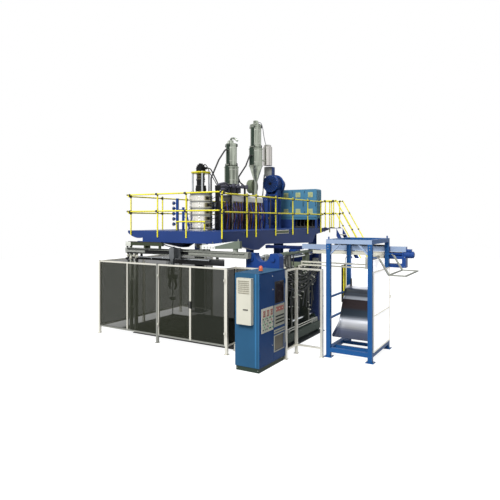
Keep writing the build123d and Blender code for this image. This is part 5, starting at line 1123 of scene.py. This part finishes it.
def clampDetails():
    m, ends, v = clampMiddle, clampEnds, clampValves
    makePiece("tie_rod_nuts", addRod, [
        ((x, face, z), (x, outer, z), 64, 60, 6)
        for x in around(m, ends["tieX"]) for z in ends["tieZ"]
        for face, outer in (ends["front"], ends["rear"])],
        clampEnamel, "clamp")
    bm = bmesh.new()
    for y in ((1560, 1655), (4345, 4440)):
        addBlock(bm, (m - 420, m - 250), y, (1500, 1800), 5)
        addBlock(bm, (m + 200, m + 430), y, (900, 1080), 5)
    for y in v["lowYs"]:
        addBlock(bm, (m + 300, m + 460), (y, y + 90), (332, 430), 4)
    for y in v["highYs"]:
        addBlock(bm, (m + 330, m + 478), (y, y + 92), (1750, 2140), 6)
        addBlock(bm, (m - 60, m + 90), (y, y + 92), (1440, 1640), 6)
    closePiece("clamp_valve_blocks", bm, greyEnamel, "clamp")
    bm = bmesh.new()
    for y in v["highYs"]:
        for number in range(v["perBlock"]):
            z = 1790 + v["pitch"] * number
            addRod(bm, (m + 479, y + 46, z), (m + 520, y + 46, z), 24, 20, 12)
            addBlock(bm, (m + 340, m + 400), (y + 92, y + 150), around(z, 24), 3)
    closePiece("clamp_valve_solenoids", bm, creamPowder, "clamp")


def clampOilHoses():
    m, h = clampMiddle, clampHoses
    chance = Random(h["seed"])
    bm = bmesh.new()
    for number in range(h["count"]):
        z = h["low"] + h["pitch"] * number
        sag = chance.uniform(*h["sag"])
        x = m + 420 + 8 * number
        addTube(bm, [(x, 1980, z), (x + 20, 2120, z - 30), (x + 10, 3000, z - sag),
                     (x + 20, 3880, z - 30), (x, 4020, z)], chance.uniform(*h["r"]), 7, 90)
    addTube(bm, [(m - 150, 1560, 1650), (m - 60, 1500, 1640), (m + 60, 1480, 1500),
                 (m + 110, 1560, 1330)], 16, 8)
    addTube(bm, [(m + 320, 1560, 1080), (m + 300, 1500, 1180), (m + 180, 1480, 1220),
                 (m + 110, 1540, 1180)], 16, 8)
    closePiece("clamp_oil_hoses", bm, blackRubber, "clamp")


def clampPipes():
    m = clampMiddle
    makePiece("clamp_pipes", addRod, [
        ((x, 1880, z), (x, 4120, z), 13, 13, 10) for x in (m - 270, m + 430) for z in (380, 440)],
        zincSteel, "clamp")
    makePiece("crosshead_bolts", addBolt, [
        ((m + 480, y + step, z), (1, 0, 0), 18, 14)
        for y in (1640, 4300) for z in clampEnds["boltZ"] for step in (60, 160)],
        zincSteel, "clamp")


def clampTopChannel():
    m, c = clampMiddle, hoseChannel
    left, right = m + c["x"][0], m + c["x"][1]
    low, high = c["z"]
    bm = bmesh.new()
    addBlock(bm, (left, left + 6), c["y"], (low + 6, high), 1)
    addBlock(bm, (right - 6, right), c["y"], (low + 6, high), 1)
    addBlock(bm, (left, right), c["y"], (low, low + 6), 1)
    for y in c["ribs"]:
        addBlock(bm, (left - 4, right + 4), (y, y + 30), (low - 2, high + 4), 1)
    closePiece("clamp_hose_channel", bm, armEnamel, "clamp")
    bm = bmesh.new()
    chance = Random(c["seed"])
    for number in range(c["ferrules"]):
        y, z = 1990 + 41 * number + chance.uniform(-20, 20), chance.uniform(700, 2050)
        length = chance.uniform(30, 60)
        addRod(bm, (m + 452, y, z), (m + 452 + length, y, z), chance.uniform(11, 20), sides=8)
    closePiece("clamp_hose_ferrules", bm, zincSteel, "clamp")
    armsLow, armsHigh = layoutBox("transfer_carriage")
    bm = bmesh.new()
    for number in range(c["drops"]):
        y = 2020 + 160 * number
        foot = chance.uniform(760, 1000)
        top = 1990 if armsLow.y - 90 < y < armsHigh.y + 90 else 2330  # the take-out arms pass above
        addTube(bm, [(m + 448, y, top), (m + 456, y + chance.uniform(-40, 40), min(2000, top - 60)),
                     (m + 450, y + chance.uniform(-140, 140), 1500),
                     (m + 454, y + chance.uniform(-200, 200), foot)], chance.uniform(10, 17), 7, 80)
    closePiece("clamp_drop_hoses", bm, blackRubber, "clamp")


def cylinderRings():
    m = clampMiddle
    bm = bmesh.new()
    for y in (1455, 1600, 4400, 4540):
        addRing(bm, (m, y, 1230), (0, 1, 0), 120, 22, 24, 40)
    for x in around(m, 60):
        addRod(bm, (x, 1480, 1340), (x, 1480, 1378), 20)
    closePiece("clamp_cylinder_rings", bm, darkEnamel, "clamp")


clampDetails()
clampOilHoses()
clampPipes()
clampTopChannel()
cylinderRings()
print("stage: gantry and clamp")


# Fence: post caps, foot bolts, grips of the two leaves

fencePosts = ((-5760, 836), (-3570, 836), (-1380, 836), (-5760, 2620), (-5760, 4460), (-4400, 4460),
              (-1380, 1240), (0, 1240), (0, 1817), (660, 1817))
leafGrips = {"left": (-2512, -2456), "width": 18, "y": (790, 817), "z": (1010, 1190)}


def fenceDetails():
    g = leafGrips
    makePiece("fence_caps", addBlock, [(around(x, 29), around(y, 29), (2074, 2080), 2)
                                       for x, y in fencePosts], blackPlastic)
    makePiece("fence_foot_bolts", addBolt, [((x + dx, y, 8), (0, 0, 1), 10, 8)
                                            for x, y in fencePosts for dx in (-42, 42)],
              zincSteel)
    makePiece("leaf_grip_left", addBlock, [((x, x + g["width"]), g["y"], g["z"], 5) for x in g["left"]],
              blackPlastic, "left_guard")
    start = layoutBox("right_guard_door")[0].x + 4
    makePiece("leaf_grip_right", addBlock, [((start, start + g["width"]), g["y"], g["z"], 5)],
              blackPlastic, "right_guard")


fenceDetails()


# Take-out station: anchor bolts, curtain, drive fittings, chain, beam tail, guard struts; floor mat

station = {"postXs": (776, 1774), "postYs": (1967, 3400), "sheetBolts": (2200, 2700, 3200)}
curtain = {"y": (2984, 3036), "z": (1140, 2070)}
takeOutDrive = {"y": 3620, "z": 2361, "fins": 7, "pitch": 22, "finR": 88, "strutYs": (2047, 3320)}
takeOutChain = {"x": 300, "pitch": 66, "links": 22}
beamTail = {"x": (-1830, -636), "y": (3560, 3680), "z": (2410, 2500), "bands": (-1780, -1240, -700)}
floorMat = {"x": (-5700, -4934), "y": (1624, 4000), "ribs": range(-5680, -4950, 40)}


def stationDetails():
    s, c = station, curtain
    bm = bmesh.new()
    for x in s["postXs"]:
        for y in s["postYs"]:
            for dx in (-70, 70):
                addRod(bm, (x + dx, y, 15), (x + dx, y, 18), 20, sides=16)
                addBolt(bm, (x + dx, y, 18), (0, 0, 1), 14, 12)
    closePiece("station_anchor_bolts", bm, zincSteel)
    makePiece("curtain_lens", addBlock, [((825.5, 830), c["y"], c["z"]),
                                         ((766, 800), (2980, 2988), c["z"], 2)],
              yellowEnamel)
    bm = bmesh.new()
    addBlock(bm, (716, 797), (2987, 3030), (c["z"][0] - 10, c["z"][1] + 10), 4)
    for z in (1120, 2085):
        addBlock(bm, (780, 830), c["y"], around(z, 14), 3)
    addTube(bm, [(810, 3010, 2098), (812, 3012, 2150), (800, 3060, 2240), (790, 3180, 2290),
                 (780, 3340, 2300)], 8, 7)
    addBlock(bm, (826, 850), (3360, 3440), (1500, 1700), 4)
    closePiece("curtain_brackets", bm, blackPlastic)
    makePiece("station_bolts", addBolt, [((x, 1917, z), (0, -1, 0), 12, 8)
                                         for x in s["postXs"] for z in (2620, 2560)]
              + [((1849, y, 1055), (1, 0, 0), 7, 5) for y in s["sheetBolts"]], zincSteel)


def driveDetails():
    d, c, t = takeOutDrive, takeOutChain, beamTail
    bm = bmesh.new()
    for ring in range(d["fins"]):
        addRing(bm, (2180 + ring * d["pitch"], d["y"], d["z"]), (1, 0, 0), d["finR"], 6, 8, 32)
    addRod(bm, (2376, d["y"], d["z"]), (2392, d["y"], d["z"]), 70, 62, 28)
    addBlock(bm, (2200, 2330), around(d["y"], 60), (2440, 2500), 5)
    closePiece("take_out_motor_fins", bm, motorEnamel)
    makePiece("take_out_bolts", addBolt, [((x, 3505, z), (0, -1, 0), 11, 8)
                                          for x in (1715, 2180) for z in (2060, 2300)],
              zincSteel)
    makePiece("take_out_chain", addBlock, [
        ((c["x"] + link * c["pitch"], c["x"] + link * c["pitch"] + 58), (3590, 3650), (2561, 2598), 4)
        for link in range(c["links"])], blackPlastic)
    # The tail of the transfer beam takes the darker blue: painted shade of the same beam
    makePiece("transfer_beam_tail", addBlock, [(t["x"], t["y"], t["z"], 6)]
              + [(around(x, 30), (t["y"][0] - 10, t["y"][1] + 10), (t["z"][0] - 6, t["z"][1] + 6), 3)
                 for x in t["bands"]], shadedBlueEnamel)
    makePiece("swing_guard_struts", addRod,
              [((1958, y, 2352), (2160, y, 2018), 26, 26, 4) for y in d["strutYs"]],
              beamEnamel, "swing_frame")


def ribbedMat():  # rubber, on the loading side behind the gantry feet
    f = floorMat
    makePiece("floor_mat", addBlock, [(f["x"], f["y"], (0.5, 3.5), 1)]
              + [((x, x + 8), (f["y"][0] + 10, f["y"][1] - 10), (3.4, 4.6)) for x in f["ribs"]],
              blackRubber)


stationDetails()
driveDetails()
ribbedMat()
print("stage: fence and station")


# Stair: clamps of its hand rails, nosings of its treads

stair = {"sides": ((8579, 1), (9321, -1)), "posts": (-1979, -1640), "top": -1520, "rises": 12,
         "clampSteps": (260, 620), "railSlope": 1.732, "treadSlope": 1.7320508}


def stairDetails():
    s, lower = stair, 2 * railSizes["r"]
    bm = bmesh.new()
    for y, inward in s["sides"]:
        for z in (railSizes["top"], railSizes["middle"]):
            for x in s["posts"]:
                addJoint(bm, x, y + inward * lower, z, (1, 0, 0), (0, -inward, 0))
            addRod(bm, (s["top"] - 25, y, z), (s["top"] + 5, y, z), 30, sides=12)
            for step in s["clampSteps"]:
                addRod(bm, (s["top"] + step, y, z - step * s["railSlope"]),
                       (s["top"] + step + 25, y, z - (step + 25) * s["railSlope"]), 29, sides=12)
        for x in s["posts"]:
            addBlock(bm, around(x, 45), around(y + inward * lower, 40), (2924, 2950), 3)
    closePiece("stair_rail_clamps", bm, blackPlastic)
    bm = bmesh.new()
    rise = deck["top"] / s["rises"]
    for step in range(1, s["rises"]):
        z = deck["top"] - step * rise
        x = s["top"] + (deck["top"] - z) / s["treadSlope"]
        addBlock(bm, (x - 12, x - 4), (8614, 9286), (z - 31, z + 3), 1)
    closePiece("tread_nosings", bm, zincSteel)


stairDetails()


# Stage, light and camera

studio = {"floor": "#8c8c8b", "floorSize": 60, "lift": 0.9, "key": 3.7, "side": 0.1,
          "ambient": 0.12, "soft": 0.85, "roof": 1.1}
photoCamera = {"place": (4929, -8607, 3235), "yaw": 30.917, "lens": 33.994, "shift": -0.0599}


def backdropRays(material):
    # 1 for every ray that shows the plain background: straight, mirrored in metal or through a sheet
    rays = addNode(material, "ShaderNodeLightPath")
    clear = addNode(material, "ShaderNodeMath", {"operation": "MAXIMUM"},
                    {0: rays.outputs["Is Camera Ray"], 1: rays.outputs["Is Transmission Ray"]})
    seen = addNode(material, "ShaderNodeMath", {"operation": "MAXIMUM"},
                   {0: clear.outputs["Value"], 1: rays.outputs["Is Glossy Ray"]})
    return seen.outputs["Value"]


def addStage():
    bm = bmesh.new()
    bmesh.ops.create_grid(bm, x_segments=1, y_segments=1, size=studio["floorSize"] / 2)
    mesh = bpy.data.meshes.new("studio_floor")
    bm.to_mesh(mesh)
    bm.free()
    floor = bpy.data.objects.new("studio_floor", mesh)
    bpy.context.collection.objects.link(floor)
    paper = newMaterial("backdrop paper")
    matt = addNode(paper, "ShaderNodeBsdfDiffuse", {"Color": linear(studio["floor"])})
    white = addNode(paper, "ShaderNodeEmission", {"Color": (1, 1, 1, 1), "Strength": studio["lift"]})
    lifted = addNode(paper, "ShaderNodeAddShader", None, {0: matt.outputs[0], 1: white.outputs[0]})
    blend = addNode(paper, "ShaderNodeMixShader", None,
                    {0: backdropRays(paper), 1: matt.outputs[0], 2: lifted.outputs[0]})
    addNode(paper, "ShaderNodeOutputMaterial", None, {"Surface": blend.outputs[0]})
    mesh.materials.append(paper)


def addGlow(world, coords, direction, low, high, dim, bright):
    # Brightness of a wide soft patch of sky round one direction
    aim = addNode(world, "ShaderNodeVectorMath", {"operation": "DOT_PRODUCT"},
                  {0: coords.outputs["Generated"]})
    aim.inputs[1].default_value = Vector(direction).normalized()
    patch = addNode(world, "ShaderNodeMapRange",
                    {"From Min": low, "From Max": high, "To Min": dim, "To Max": bright},
                    {"Value": aim.outputs["Value"]})
    return patch.outputs["Result"]


def addSky():
    # Bright soft box in front of the machine, another above it, and dim walls all round
    world = bpy.data.worlds.new("studio")
    bpy.context.scene.world = world
    world.use_nodes = True
    world.node_tree.nodes.clear()
    coords = addNode(world, "ShaderNodeTexCoord")
    ambient = studio["ambient"]
    front = addGlow(world, coords, (-0.05, -0.82, 0.48), 0.2, 0.95, ambient, ambient + studio["soft"])
    above = addGlow(world, coords, (-0.15, 0.4, 0.9), 0.7, 0.98, 0.0, studio["roof"])
    total = addNode(world, "ShaderNodeMath", {"operation": "ADD"}, {0: front, 1: above})
    sky = addNode(world, "ShaderNodeBackground", {"Color": (0.95, 0.97, 1, 1)},
                  {"Strength": total.outputs["Value"]})
    backdrop = addNode(world, "ShaderNodeBackground", {"Color": (1, 1, 1, 1), "Strength": 1.0})
    mix = addNode(world, "ShaderNodeMixShader", None,
                  {0: backdropRays(world), 1: sky.outputs[0], 2: backdrop.outputs[0]})
    addNode(world, "ShaderNodeOutputWorld", None, {"Surface": mix.outputs[0]})


def addSun(name, strength, direction, softness):
    lamp = bpy.data.lights.new(name, "SUN")
    lamp.energy, lamp.angle = strength, radians(softness)
    holder = bpy.data.objects.new(name, lamp)
    holder.rotation_euler = Vector(direction).to_track_quat("-Z", "Y").to_euler()
    bpy.context.collection.objects.link(holder)


def addCamera():
    camera = bpy.data.cameras.new("photo camera")
    camera.lens, camera.sensor_width = photoCamera["lens"], 36
    camera.shift_y = photoCamera["shift"]
    camera.clip_end = 200
    holder = bpy.data.objects.new("photo camera", camera)
    holder.location = at(*photoCamera["place"])
    holder.rotation_euler = (radians(90), 0, radians(photoCamera["yaw"]))
    bpy.context.collection.objects.link(holder)
    bpy.context.scene.camera = holder


addStage()
addSky()
addSun("key", studio["key"], (-0.12, 0.74, -0.66), 25)
addSun("side", studio["side"], (-0.9, 0.2, -0.35), 60)
addCamera()
bpy.context.scene.view_settings.view_transform = "Standard"
print("stage: floor, light and camera")
